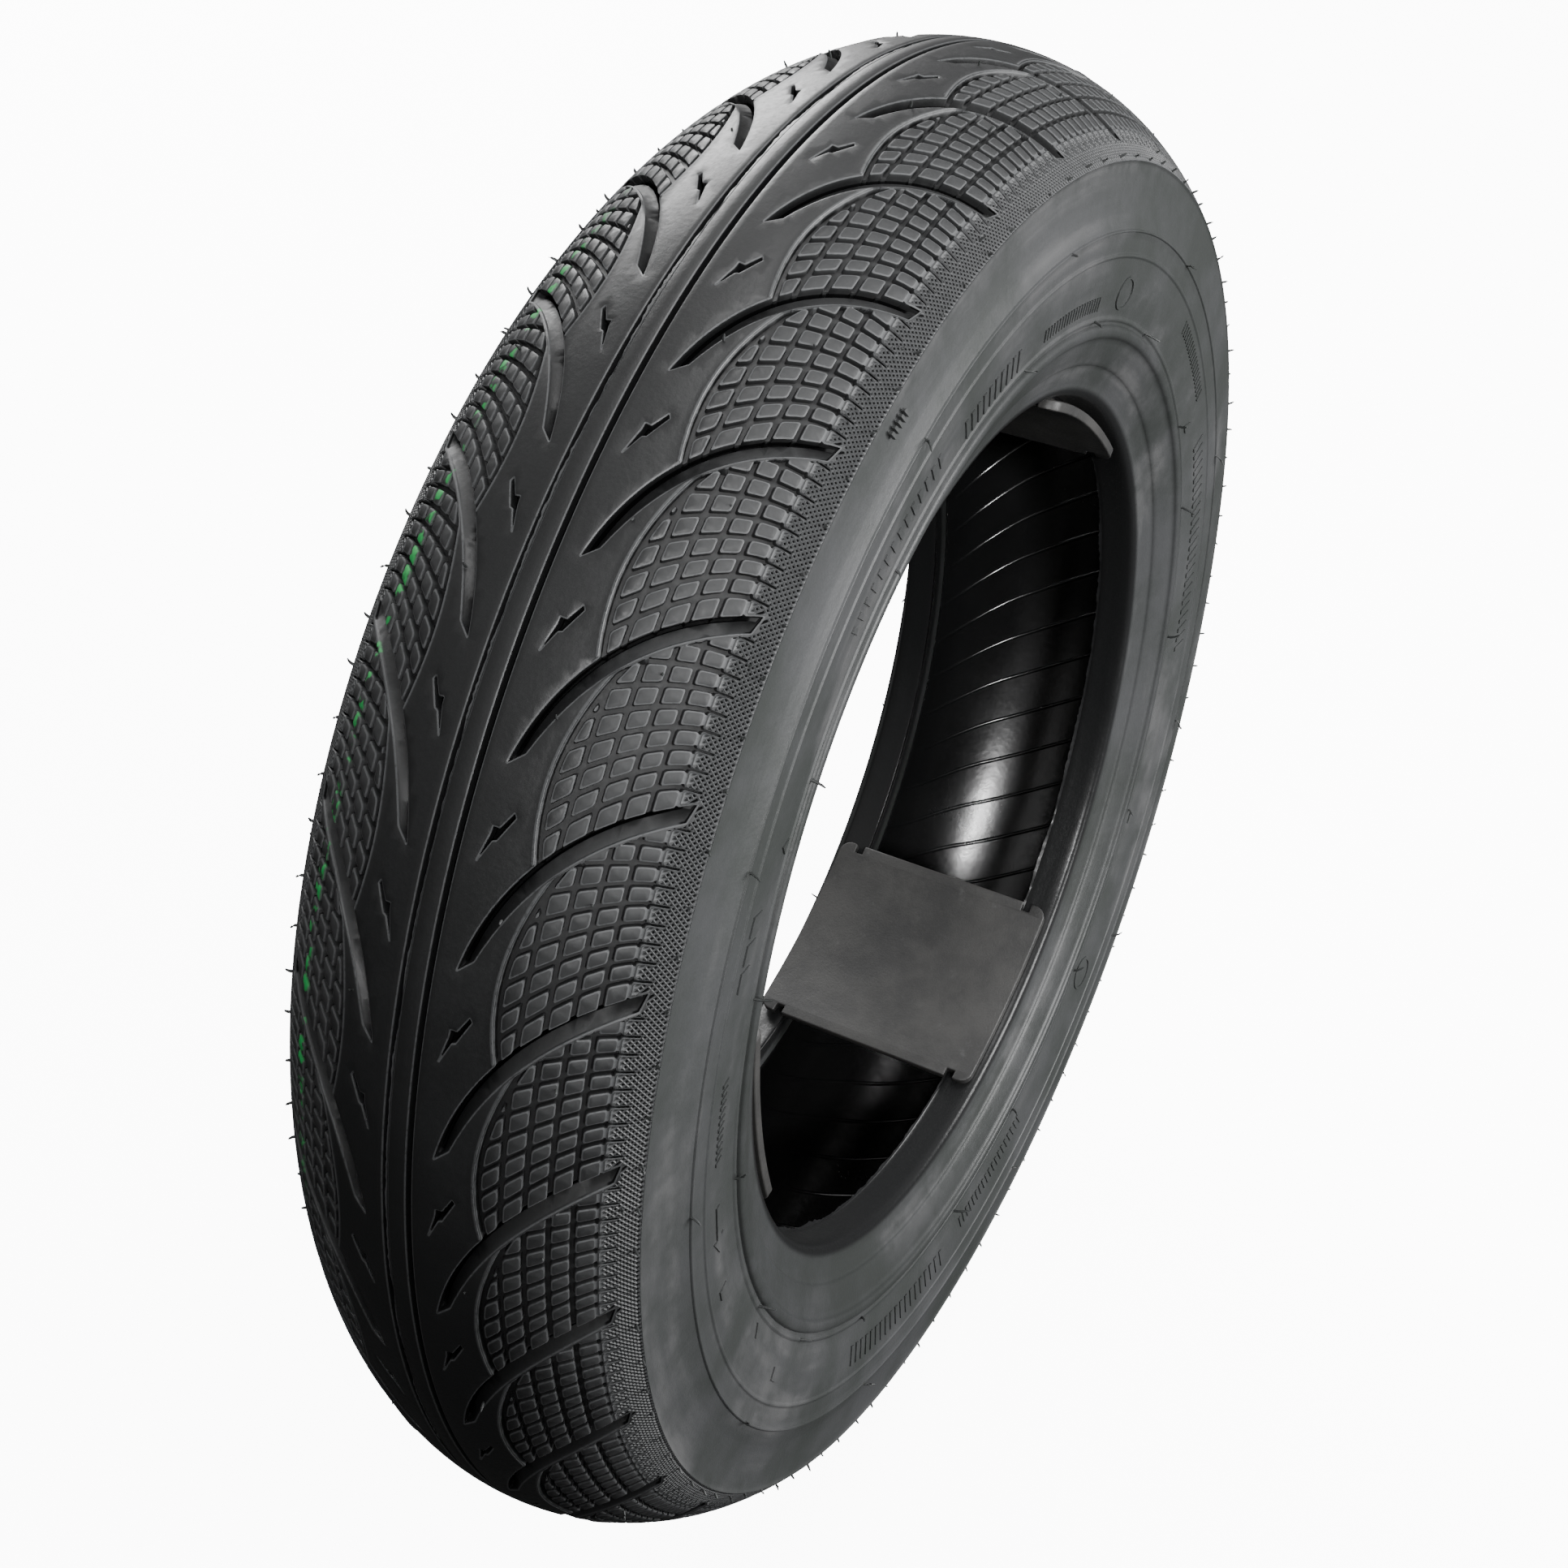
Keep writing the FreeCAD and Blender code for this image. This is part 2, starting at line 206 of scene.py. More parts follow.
def grid_faces(rows, columns, close_rows=True):
    """Quads between rows of points. Each row is a loop, and the last row can join the first."""
    row = np.arange(rows if close_rows else rows - 1)[:, None]
    column = np.arange(columns)[None]
    below = (row + 1) % rows
    beside = (column + 1) % columns
    corners = (row * columns + column, row * columns + beside, below * columns + beside,
               below * columns + column)
    return np.stack(corners, -1).reshape(-1, 4)


def tube_faces(rings, sides):
    """Faces of a closed tube of rings of points, with both ends capped."""
    start = list(range(sides))
    end = [(rings - 1) * sides + k for k in start]
    return grid_faces(rings, sides, False).tolist() + [start[::-1], end]


def join_parts(name, parts, slot, sharp=40):
    """One piece from several separate sets of points and faces."""
    points = []
    faces = []
    for part_points, part_faces in parts:
        first = len(points)
        points += [tuple(p) for p in part_points]
        faces += [tuple(first + i for i in f) for f in part_faces]
    add_piece(name, points, faces, slot, sharp=sharp)


def bezier(poles, count):
    """Points along a cubic curve."""
    t = np.linspace(0, 1, count)[:, None]
    a, b, c, d = [np.array(p)[None] for p in poles]
    return (1 - t) ** 3 * a + 3 * (1 - t) ** 2 * t * b + 3 * (1 - t) * t * t * c + t ** 3 * d


def polygon_distance(s, u, polygon):
    """Signed distance from a closed polygon, negative inside."""
    nearest = np.full(s.shape, 1e9)
    inside = np.zeros(s.shape, bool)
    for (s0, u0), (s1, u1) in zip(polygon, np.roll(polygon, -1, 0)):
        ds, du = s1 - s0, u1 - u0
        length = ds * ds + du * du
        t = np.clip(((s - s0) * ds + (u - u0) * du) / length, 0, 1)
        nearest = np.minimum(nearest, np.hypot(s - s0 - t * ds, u - u0 - t * du))
        crosses = (u0 > u) != (u1 > u)
        with np.errstate(divide="ignore", invalid="ignore"):
            inside ^= crosses & (s < s0 + (u - u0) * ds / du)
    return np.where(inside, -nearest, nearest)


def smooth_min(a, b, blend):
    """The smaller of two distances, with the corner between them rounded."""
    h = np.maximum(blend - np.abs(a - b), 0) / blend
    return np.minimum(a, b) - h * h * blend / 4


# ------ the tread pattern as distances

CUT_RING = np.concatenate([bezier(GROOVE_UPPER, 28), bezier(CUT_LOWER, 28)[::-1]])
GROOVE_RING = np.concatenate([bezier(GROOVE_UPPER, 28), bezier(RAMP_EDGE, 28)[::-1]])
UPPER_LINE = bezier(GROOVE_UPPER, 60)
RAMP_LINE = bezier(RAMP_EDGE, 60)


def leaf_edge(u):
    """How far from the centre the inner edge of a leaf of blocks lies."""
    before = np.maximum(LEAF_NEAREST_U - u, 0) / (LEAF_NEAREST_U - LEAF_START)
    after = np.maximum(u - LEAF_NEAREST_U, 0) / (LEAF_END - LEAF_NEAREST_U)
    return LEAF_NEAREST_S + LEAF_FLARE_START * before ** 1.9 + LEAF_FLARE_END * after ** 2


def row_distance(s, u):
    """Distance to the nearest curved row groove of a leaf."""
    reach = np.maximum(ROW_EDGE - s, 0) / ROW_REACH
    f = reach ** ROW_CURVE
    slope_f = -ROW_CURVE / ROW_REACH * reach ** (ROW_CURVE - 1)
    spacing = ROW_STEP + ROW_FAN * f
    count = (-1 + ROW_SWEEP * f - u) / spacing
    nearest = np.clip(np.round(count), 1, ROWS)
    slope = (ROW_SWEEP - ROW_FAN * nearest) * slope_f
    distance = np.abs(count - nearest) * spacing / np.sqrt(1 + slope * slope)
    return np.hypot(distance, np.maximum(s - TICK_END, 0))


def leaf_distance(s, u):
    """Distance from the small grooves of the leaf between one main groove and the next."""
    start = np.interp(s, RAMP_LINE[:, 0], RAMP_LINE[:, 1]) + LEAF_GAP
    end = np.interp(s, UPPER_LINE[:, 0], UPPER_LINE[:, 1]) + PITCH + LEAF_OVERRUN
    half = np.interp(s, (LAST_COLUMN - 0.4, LAST_COLUMN + 0.6), (BLOCK_GROOVE / 2, TICK_GROOVE / 2))
    column = np.min([np.abs(s - c) for c in COLUMNS], axis=0) - BLOCK_GROOVE / 2
    last = np.abs(s - LAST_COLUMN) - TICK_GROOVE / 2
    rim = rim_distance(s, u)
    grid = smooth_min(row_distance(s, u) - half, np.minimum(column, last), BLOCK_ROUNDING)
    grid = smooth_min(grid, rim, BLOCK_ROUNDING)
    grid = grid * np.interp(s, (LAST_COLUMN + 0.3, LAST_COLUMN + 0.9), (1, TICK_CRISPNESS))
    distance = np.where(s > leaf_edge(u), grid, rim)
    outside = (u < start) | (u > end)
    return np.where(outside, FAR, distance)


def rim_distance(s, u):
    """Distance from the groove along the inner edge of a leaf."""
    edge = leaf_edge(u)
    slope = (leaf_edge(u + 0.1) - edge) / 0.1
    rim = np.abs(s - edge) / np.sqrt(1 + slope * slope) - BLOCK_GROOVE / 2
    return np.where(u < RIM_START, FAR, rim)


def main_groove_depth(s, u):
    """Depth inside a main groove: a cut under its upper edge and a ramp up to its lower edge."""
    taper = np.clip((1.5 - u) / 6, 0.3, 1) * np.clip((51 - s) / 6, 0.35, 1)
    deep = MAIN_DEPTH * taper
    cut = polygon_distance(s, u, CUT_RING)
    outer = np.maximum(-polygon_distance(s, u, GROOVE_RING), 0)
    rise = np.clip(outer / np.maximum(outer + np.maximum(cut - CUT_WALL, 0), 0.01), 0, 1)
    ramp = np.minimum(RAMP_HIGH + (RAMP_LOW - RAMP_HIGH) * rise, deep)
    blend = np.clip(cut / CUT_WALL, 0, 1)
    return deep * (1 - blend) + ramp * blend, cut


def tread_field(s, u):
    """Distance from the nearest land edge (land positive), groove depth, cut and lip distances."""
    main, leaf, sipe, cut, lip = (np.full(s.shape, FAR) for _ in range(5))
    main_depth = np.full(s.shape, MAIN_DEPTH)
    for shift in (-1, 0, 1, 2):
        v = u - shift * PITCH
        this = polygon_distance(s, v, GROOVE_RING)
        near = this < np.minimum(main, 3.0)
        if near.any():
            depth, this_cut = main_groove_depth(s[near], v[near])
            main_depth[near] = depth
            cut[near] = this_cut
        main = np.minimum(main, this)
        leaf = np.minimum(leaf, leaf_distance(s, v))
        smooth_side = (s < leaf_edge(v)) & (v < LIP_END) & (v > RIM_START)
        lip = np.where(smooth_side, np.minimum(lip, rim_distance(s, v)), lip)
        sipe = np.minimum(sipe, polygon_distance(s, v, np.array(SIPE)))
    centre = np.abs(s - (RIB_EDGE + CENTRE_GROOVE_EDGE) / 2) - (CENTRE_GROOVE_EDGE - RIB_EDGE) / 2
    kinds = np.stack([main, leaf, sipe, centre])
    plain = [np.full(s.shape, depth) for depth in (BLOCK_DEPTH, SIPE_DEPTH, CENTRE_DEPTH)]
    depths = np.stack([main_depth] + plain)
    nearest = np.argmin(kinds, axis=0)
    distance = smooth_min(smooth_min(main, leaf, 0.4), np.minimum(sipe, centre), 0.1)
    return distance, np.take_along_axis(depths, nearest[None], 0)[0], cut, lip


def snapped(distance):
    """Distances with those close to a contour level set to that level."""
    for level in LEVELS:
        distance = np.where(np.abs(distance - level) < SNAP, level, distance)
    return distance


def drop_at(s, u):
    """How far below the tread surface the mesh lies here."""
    distance, depth, _, lip = tread_field(s, u)
    distance = snapped(distance)
    chamfer = np.interp(distance, (0, CHAMFER_TOP), (CHAMFER_DROP, 0))
    raised = LIP_HEIGHT * np.clip((LIP_EDGE - lip) / (LIP_EDGE - CHAMFER_TOP), 0, 1)
    fade = np.clip((distance - CHAMFER_TOP) / 0.3 + 1, 0, 1)
    wall = CHAMFER_DROP + (depth - CHAMFER_DROP) * np.clip(distance / FLOOR_EDGE, 0, 1)
    return np.where(distance >= 0, chamfer - raised * fade, wall)


# ------ contours of a sampled field

CELL_LINES = {1: ((3, 0),), 2: ((0, 1),), 3: ((3, 1),), 4: ((1, 2),), 5: ((3, 2), (0, 1)),
              6: ((0, 2),), 7: ((3, 2),), 8: ((2, 3),), 9: ((2, 0),), 10: ((3, 0), (1, 2)),
              11: ((2, 1),), 12: ((1, 3),), 13: ((1, 0),), 14: ((0, 3),)}


def contour_chains(field, level, us, ss):
    """Lines where a field on a grid crosses a level. Each line is an array of (u, s) points."""
    above = field > level
    case = (above[:-1, :-1] * 1 + above[1:, :-1] * 2 + above[1:, 1:] * 4 + above[:-1, 1:] * 8)
    links = {}

    def crossed(i, j, side):
        # The grid edge on one side of a cell: 0 bottom, 1 right, 2 top, 3 left
        return (((i, j), (i + 1, j)), ((i + 1, j), (i + 1, j + 1)),
                ((i, j + 1), (i + 1, j + 1)), ((i, j), (i, j + 1)))[side]

    def place(edge):
        a, b = edge
        t = (level - field[a]) / (field[b] - field[a])
        return us[a[0]] + t * (us[b[0]] - us[a[0]]), ss[a[1]] + t * (ss[b[1]] - ss[a[1]])

    for i, j in zip(*np.nonzero((case > 0) & (case < 15))):
        for side_a, side_b in CELL_LINES[int(case[i, j])]:
            a = crossed(int(i), int(j), side_a)
            b = crossed(int(i), int(j), side_b)
            links.setdefault(a, []).append(b)
            links.setdefault(b, []).append(a)
    chains = []
    ends = [k for k, v in links.items() if len(v) == 1]
    for start in ends + list(links):
        if not links[start]:
            continue
        chain = [start]
        while links[chain[-1]]:
            following = links[chain[-1]].pop()
            links[following].remove(chain[-1])
            chain.append(following)
        chains.append(np.array([place(k) for k in chain]))
    return chains


def simplified(line, tolerance):
    """The same line with only the points that its shape needs."""
    if len(line) < 3:
        return line
    chord = line[-1] - line[0]
    length = np.hypot(*chord)
    offset = line - line[0]
    if length < 1e-9:
        distance = np.hypot(*offset.T)
    else:
        distance = np.abs(chord[0] * offset[:, 1] - chord[1] * offset[:, 0]) / length
    far = int(np.argmax(distance))
    if distance[far] < tolerance:
        return line[[0, -1]]
    return np.concatenate([simplified(line[:far + 1], tolerance)[:-1],
                           simplified(line[far:], tolerance)])


def even_steps(line, longest):
    """The same line with long stretches cut into steps."""
    out = [line[0]]
    for a, b in zip(line[:-1], line[1:]):
        steps = max(1, math.ceil(np.hypot(*(b - a)) / longest))
        out += [a + (b - a) * k / steps for k in range(1, steps + 1)]
    return np.array(out)


# ------ one pitch of tread as a mesh

def kept_runs(line, keep):
    """The stretches of a line where keep is true."""
    breaks = np.nonzero(np.diff(keep))[0] + 1
    runs = zip(np.split(line, breaks), np.split(keep, breaks))
    return [run for run, kept in runs if kept[0] and len(run) > 3]


def pattern_lines(us, ss, fields):
    """Land edges, chamfer tops, floor edges, ramp feet and lips of one pitch, as lines."""
    distance, _, cut, lip = fields
    lines = []
    for level in LEVELS:
        lines += contour_chains(distance, level, us, ss)
    for level in (0.0, CUT_WALL):
        for chain in contour_chains(cut, level, us, ss):
            inside = tread_field(chain[:, 1], chain[:, 0])[0] < FLOOR_EDGE - 0.1
            lines += kept_runs(chain, inside)
    for chain in contour_chains(lip, LIP_EDGE, us, ss):
        on_land = tread_field(chain[:, 1], chain[:, 0])[0] > CHAMFER_TOP + 0.3
        lines += kept_runs(chain, on_land)
    needed = [simplified(line, LINE_TOLERANCE) for line in lines if len(line) > 3]
    return [even_steps(line, LONGEST_EDGE) for line in needed]


def spread_points(count_u, count_s):
    """Plain points over land and wide floors, and along the edges of the pitch."""
    us = np.linspace(TILE_START, TILE_START + PITCH, count_u + 1)
    ss = np.linspace(0, TREAD_SPAN, count_s + 1)
    u, s = np.meshgrid(us, ss, indexing="ij")
    distance = tread_field(s, u)[0]
    border = (s == 0)
    keep = (((distance > 0.9) | (distance < -0.8)) & (s < KNURL_START - 0.5)) | border
    return np.stack([u[keep], s[keep]], 1)


def knurl_points():
    """The knurled shoulder band: a net of small peaks and pits."""
    du = PITCH / KNURL_ROUND
    ds = (TREAD_SPAN - KNURL_START) / KNURL_ACROSS
    i, j = np.meshgrid(np.arange(KNURL_ROUND + 1), np.arange(KNURL_ACROSS + 1), indexing="ij")
    u = TILE_START + i * du
    s = KNURL_START + j * ds
    drop = np.where((i + j) % 2 == 1, KNURL_DEPTH, 0.0)
    drop = np.where((j == 0) | (j == KNURL_ACROSS), 0.1, drop)
    keep = (tread_field(s, u)[0] > CHAMFER_TOP + 0.15) | (j == KNURL_ACROSS)
    number = np.full(i.shape, -1)
    number[keep] = np.arange(keep.sum())
    ties = []
    for a in range(KNURL_ROUND):
        for b in range(1, KNURL_ACROSS - 1):
            lean = (a + b) % 2
            pair = (number[a + lean, b], number[a + 1 - lean, b + 1])
            if min(pair) >= 0:
                ties.append(pair)
    return np.stack([u[keep], s[keep]], 1), drop[keep], ties


def tread_surface():
    """Points (u, s, drop) and triangles of one pitch of one half of the tread's surface."""
    us = np.linspace(TILE_START, TILE_START + PITCH, SAMPLES_ROUND)
    ss = np.linspace(0, TREAD_SPAN, SAMPLES_ACROSS)
    grid_u, grid_s = np.meshgrid(us, ss, indexing="ij")
    fields = [field.copy() for field in tread_field(grid_s, grid_u)]
    for field in fields:
        field[-1] = field[0]
    points = []
    edges = []
    for line in pattern_lines(us, ss, fields):
        first = len(points)
        points += line.tolist()
        edges += [(first + k, first + k + 1) for k in range(len(line) - 1)]
    net_start = len(points)
    net, net_drop, ties = knurl_points()
    edges += [(net_start + a, net_start + b) for a, b in ties]
    points += net.tolist() + spread_points(16, 20).tolist()
    out, _, faces, origins, _, _ = delaunay_2d_cdt([Vector(p) for p in points], edges, [], 0, 1e-5)
    place = np.array([tuple(p) for p in out])
    u = place[:, 0]
    s = np.clip(place[:, 1], 0, TREAD_SPAN)
    drop = drop_at(s, u)
    for index, sources in enumerate(origins):
        knurled = [k for k in sources if net_start <= k < net_start + len(net)]
        if knurled:
            drop[index] = net_drop[knurled[0] - net_start]
    return np.stack([u, s, drop], 1), np.array(faces)


def open_edges(faces):
    """Directed edges that only one triangle uses."""
    used = {(a, b) for f in faces.tolist() for a, b in ((f[0], f[1]), (f[1], f[2]), (f[2], f[0]))}
    return [(a, b) for a, b in used if (b, a) not in used]


def closed_tile():
    """One pitch of the tread as a block: surface, underside and the walls along both sides."""
    surface, faces = tread_surface()
    border = open_edges(faces)
    ring = sorted({a for a, _ in border})
    u, s = np.meshgrid(np.linspace(TILE_START, TILE_START + PITCH, 9)[1:-1],
                       np.linspace(0, TREAD_SPAN, 11)[1:-1])
    inner = np.stack([u.ravel(), s.ravel()], 1)
    flat = np.concatenate([surface[ring, :2], inner])
    out, _, under, origins, _, _ = delaunay_2d_cdt([Vector(p) for p in flat], [], [], 0, 1e-6)
    sources = [o[0] for o in origins]
    total = len(surface)
    lower = np.concatenate([flat, np.full((len(flat), 1), UNDERSIDE)], 1)
    below = {top: total + k for k, top in enumerate(ring)}
    under = [[total + sources[i] for i in f][::-1] for f in under]
    walls = {"side": [], "start": [], "end": []}
    for a, b in border:
        pair = surface[[a, b], 0]
        if np.allclose(pair, TILE_START, atol=1e-3):
            kind = "start"
        elif np.allclose(pair, TILE_START + PITCH, atol=1e-3):
            kind = "end"
        else:
            kind = "side"
        walls[kind] += [[b, a, below[a]], [b, below[a], below[b]]]
    body = np.array(faces.tolist() + under + walls["side"])
    return np.concatenate([surface, lower]), body, np.array(walls["start"]), np.array(walls["end"])


def tile_seam(tile):
    """Matching point numbers at the start and the end of a pitch."""
    seams = []
    for place in (TILE_START, TILE_START + PITCH):
        seam = np.nonzero(np.abs(tile[:, 0] - place) < 1e-3)[0]
        under = tile[seam, 2] > UNDERSIDE - 0.01
        seams.append(seam[np.lexsort((tile[seam, 1], under))])
    return seams


def tread_points(tile, side, pitch_number):
    """Points of one pitch in space."""
    u, s, drop = tile.T
    radius = CROWN_ARC - drop
    y = SIDES[side] * radius * np.sin(s / CROWN_ARC)
    r = CROWN_CENTRE_R + radius * np.cos(s / CROWN_ARC)
    angle = math.radians(PHASE[side] + pitch_number * 360 / PITCHES) + u / TYRE_RADIUS
    return turned(y, r, angle)


def make_tread():
    """The tread of both halves, in closed pieces of ten pitches each."""
    tile, faces, start_wall, end_wall = closed_tile()
    start, end = tile_seam(tile)
    for side in SIDES:
        for part in range(PITCHES // TILES_PER_PIECE):
            points = []
            triangles = []
            total = 0
            previous_end = None
            for k in range(TILES_PER_PIECE):
                number = np.zeros(len(tile), int)
                fresh = np.ones(len(tile), bool)
                if previous_end is not None:
                    fresh[start] = False
                    number[start] = previous_end
                number[fresh] = total + np.arange(fresh.sum())
                total += int(fresh.sum())
                points.append(tread_points(tile[fresh], side, part * TILES_PER_PIECE + k))
                triangles.append(number[faces])
                if k == 0:
                    triangles.append(number[start_wall])
                previous_end = number[end]
            triangles.append(number[end_wall])
            triangles = np.concatenate(triangles)
            if side == "left":
                triangles = triangles[:, ::-1]
            add_piece("tread_" + side + "_" + str(part + 1), np.concatenate(points), triangles,
                      "tread_rubber", ["tread_cap"], sharp=38)


make_tread()


# ------ sidewalls

def side_arc():
    """Centre (y, r) and radius of the sidewall's outer arc, through its three known points."""
    known = np.array([(TREAD_HALF_WIDTH, SHOULDER_RADIUS), (SECTION_HALF_WIDTH, SECTION_MID_RADIUS),
                      (CHAFER_TOP_Y, CHAFER_TOP_RADIUS)])
    squares = (known ** 2).sum(1)
    centre = np.linalg.solve(2 * (known[1:] - known[0]), squares[1:] - squares[0])
    return centre[0], centre[1], math.hypot(*(known[0] - centre))


ARC_Y, ARC_R, ARC_RADIUS = side_arc()

# Sidewall features: radius, half width and height in millimetres
SIDE_RIDGES = ((175.2, 0.45, 0.35), (168.4, 0.7, 0.35), (150.6, 0.9, 0.4))
RIDGE_SAMPLES = (-1.0, -0.6, -0.38, 0.0, 0.38, 0.6, 1.0)
BUTTRESS_DISH = 1.1
SIDE_STEP = 0.35
SIDEWALL_INSIDE = ((45.0, 150.0), (47.2, 160.0), (47.8, 174.0), (45.5, 188.0))
RING_STEPS = 480


def side_point(r, lift):
    """Section points on the sidewall at a base radius, lifted off its arc."""
    y = ARC_Y + np.sqrt(ARC_RADIUS ** 2 - (r - ARC_R) ** 2)
    scale = 1 + lift / ARC_RADIUS
    return ARC_Y + (y - ARC_Y) * scale, ARC_R + (r - ARC_R) * scale


def side_relief(r):
    """How far the moulded sidewall stands off its arc at a base radius."""
    first_ridge = SIDE_RIDGES[0][0]
    across = np.clip((SHOULDER_RADIUS - r) / (SHOULDER_RADIUS - first_ridge), 0, 1)
    lift = -BUTTRESS_DISH * np.sin(math.pi * across) ** 0.8
    lift -= SIDE_STEP * np.clip((SHOULDER_RADIUS - r) / 0.6, 0, 1) * (across < 1)
    lift += SIDE_STEP * np.clip(1 - (r - first_ridge) / 5, 0, 1) * (across < 1)
    for centre, half_width, height in SIDE_RIDGES:
        lift += height * np.clip(1.6 * (1 - np.abs(r - centre) / half_width), 0, 1)
    fade = np.clip((first_ridge - r) / 2, 0, 1) * np.clip((r - CHAFER_TOP_RADIUS) / 3, 0, 1)
    return lift - 0.3 * fade


def make_sidewall(side):
    """The moulded sidewall from the tread edge to the rim cushion, as a closed ring."""
    crests = [c + k * half for c, half, _ in SIDE_RIDGES for k in RIDGE_SAMPLES]
    r = np.sort(np.concatenate([np.linspace(CHAFER_TOP_RADIUS, SHOULDER_RADIUS, 90), crests]))[::-1]
    y, radius = side_point(r, side_relief(r))
    outer = np.stack([y, radius], 1)
    section = np.concatenate([outer, SIDEWALL_INSIDE, outer[:1]])
    make_ring("sidewall_skin_" + side, section, RING_STEPS, side, "sidewall_rubber",
              ["sidewall_" + side])


def make_ring(name, section, steps, side, slot, replaced, sharp=40):
    """A closed ring on one side of the tyre, from a closed section given for the left side."""
    y, r = section[:-1].T
    angles = np.linspace(0, 2 * math.pi, steps, endpoint=False)[:, None]
    points = turned(SIDES[side] * y, r, angles).reshape(-1, 3)
    faces = grid_faces(steps, len(y))
    if side == "left":
        faces = faces[:, ::-1]
    add_piece(name, points, faces, slot, replaced, sharp)


def rounded(control, rounds=3):
    """A control polygon with its corners cut to a smooth line."""
    line = np.array(control, float)
    for _ in range(rounds):
        a, b = line[:-1], line[1:]
        cut = np.stack([a * 0.75 + b * 0.25, a * 0.25 + b * 0.75], 1).reshape(-1, 2)
        line = np.concatenate([line[:1], cut, line[-1:]])
    return line


RIM_FACE = ((CHAFER_TOP_Y, CHAFER_TOP_RADIUS), (48.7, 148.5), (49.0, 147.3), (48.7, 145.6),
            (47.2, 144.8), (46.4, 142.0), (45.0, 138.6), (44.2, 137.0), (43.2, 136.4),
            (42.5, 134.2), (41.5, 131.6), (41.0, 129.2), (40.2, 127.4), (38.2, 126.7),
            (34.0, 126.3), (30.8, 125.9), (29.9, 126.2), (29.5, 128.5), (29.3, 132.4))
RIM_INSIDE = ((30.6, 133.0), (31.5, 129.5), (35.4, 128.1), (39.2, 130.0), (40.3, 133.0),
              (43.4, 142.0), (45.6, 149.0))


def make_chafer(side):
    """The rim cushion: rim line, bead face, heel, seat and toe."""
    face = rounded(RIM_FACE)
    section = np.concatenate([face, RIM_INSIDE, face[:1]])
    make_ring("rim_cushion_" + side, section, RING_STEPS, side, "chafer_rubber",
              ["chafer_" + side])


for side in SIDES:
    make_sidewall(side)
    make_chafer(side)


# ------ inner liner and its ridges

def polar(centre, radius, angles):
    """Section points about a centre, at angles in degrees from +r towards +y."""
    a = np.radians(angles)
    return np.stack([centre[0] + radius * np.sin(a), centre[1] + radius * np.cos(a)], -1)


CROWN_CENTRE = (0.0, CROWN_CENTRE_R)
SIDE_CENTRE = tuple(polar(CROWN_CENTRE, CASING_ARC - SIDE_ARC, SIDE_START))


def straight_run_angle():
    """The angle at which the side arc runs off to the far side of the bead bundle."""
    dy = BUNDLE[0] - SIDE_CENTRE[0]
    dr = BUNDLE[1] - SIDE_CENTRE[1]
    lean = math.degrees(math.acos((SIDE_ARC + BUNDLE_RADIUS) / math.hypot(dy, dr)))
    return math.degrees(math.atan2(dy, dr)) - lean


def casing_line(depth):
    """The casing line from the crown centre to the bead toe, at a depth towards the air chamber."""
    end = straight_run_angle()
    bundle = np.linspace(end - 180, -92, 8)
    return np.concatenate([
        polar(CROWN_CENTRE, CASING_ARC - depth, np.linspace(0, SIDE_START, 14)),
        polar(SIDE_CENTRE, SIDE_ARC - depth, np.linspace(SIDE_START, end, 16))[1:],
        polar(BUNDLE, BUNDLE_RADIUS + depth, bundle),
    ])


LINER_THICKNESS = 1.0
LINER_STEPS = 300


def make_liner():
    """The glossy airtight liner, as one closed ring."""
    half = casing_line(LINER_DEPTH)
    back = casing_line(LINER_DEPTH - LINER_THICKNESS)
    flip = np.array([-1, 1])
    section = np.concatenate([half[::-1], half[1:] * flip, (back * flip)[::-1], back[1:], half[-1:]])
    make_ring("liner_skin", section, LINER_STEPS, "right", "liner_rubber", ["inner_liner"], 30)


RIDGE_STEP = 4.8
RIDGE_WIDTH = 2.0
RIDGE_HEIGHT = 0.45
RIDGE_PROFILE = ((-0.5, -0.2), (-0.3, 0.55), (-0.1, 0.95), (0.1, 0.95), (0.3, 0.55), (0.5, -0.2))


def ridge_angle(y):
    """How a moulding ridge runs round the tyre, in degrees, as it crosses the liner."""
    side = np.abs(y)
    return -0.17 * y - 0.0045 * np.sign(y) * np.maximum(side - 22, 0) ** 2


def make_liner_ridges():
    """Thin curved ridges that the moulding bladder leaves across the liner."""
    line = polar(CROWN_CENTRE, CASING_ARC - LINER_DEPTH, np.linspace(-44, 44, 41))
    side_part = polar(SIDE_CENTRE, SIDE_ARC - LINER_DEPTH, np.linspace(47, 88, 9))
    line = np.concatenate([(side_part * [-1, 1])[::-1], line, side_part])
    y, r = line.T
    along = np.gradient(line, axis=0)
    along /= np.linalg.norm(along, axis=1)[:, None]
    inward = np.stack([along[:, 1], -along[:, 0]], 1)
    taper = np.clip((1 - np.abs(np.linspace(-1, 1, len(y)))) * 6, 0.05, 1)
    parts = []
    for k in range(int(360 / RIDGE_STEP)):
        angle = math.radians(k * RIDGE_STEP + 2.0) + np.radians(ridge_angle(y))
        rows = []
        for across, lift in RIDGE_PROFILE[::-1]:
            height = RIDGE_HEIGHT * lift * np.where(lift > 0, taper, 1.0)
            spread = RIDGE_WIDTH * across / r
            rows.append(turned(y + inward[:, 0] * height, r + inward[:, 1] * height,
                               angle + spread))
        points = np.stack(rows, 1).reshape(-1, 3)
        parts.append((points, tube_faces(len(y), len(RIDGE_PROFILE))))
    join_parts("liner_ridges", parts, "liner_rubber", sharp=60)


make_liner()
make_liner_ridges()


# ------ bead spacers

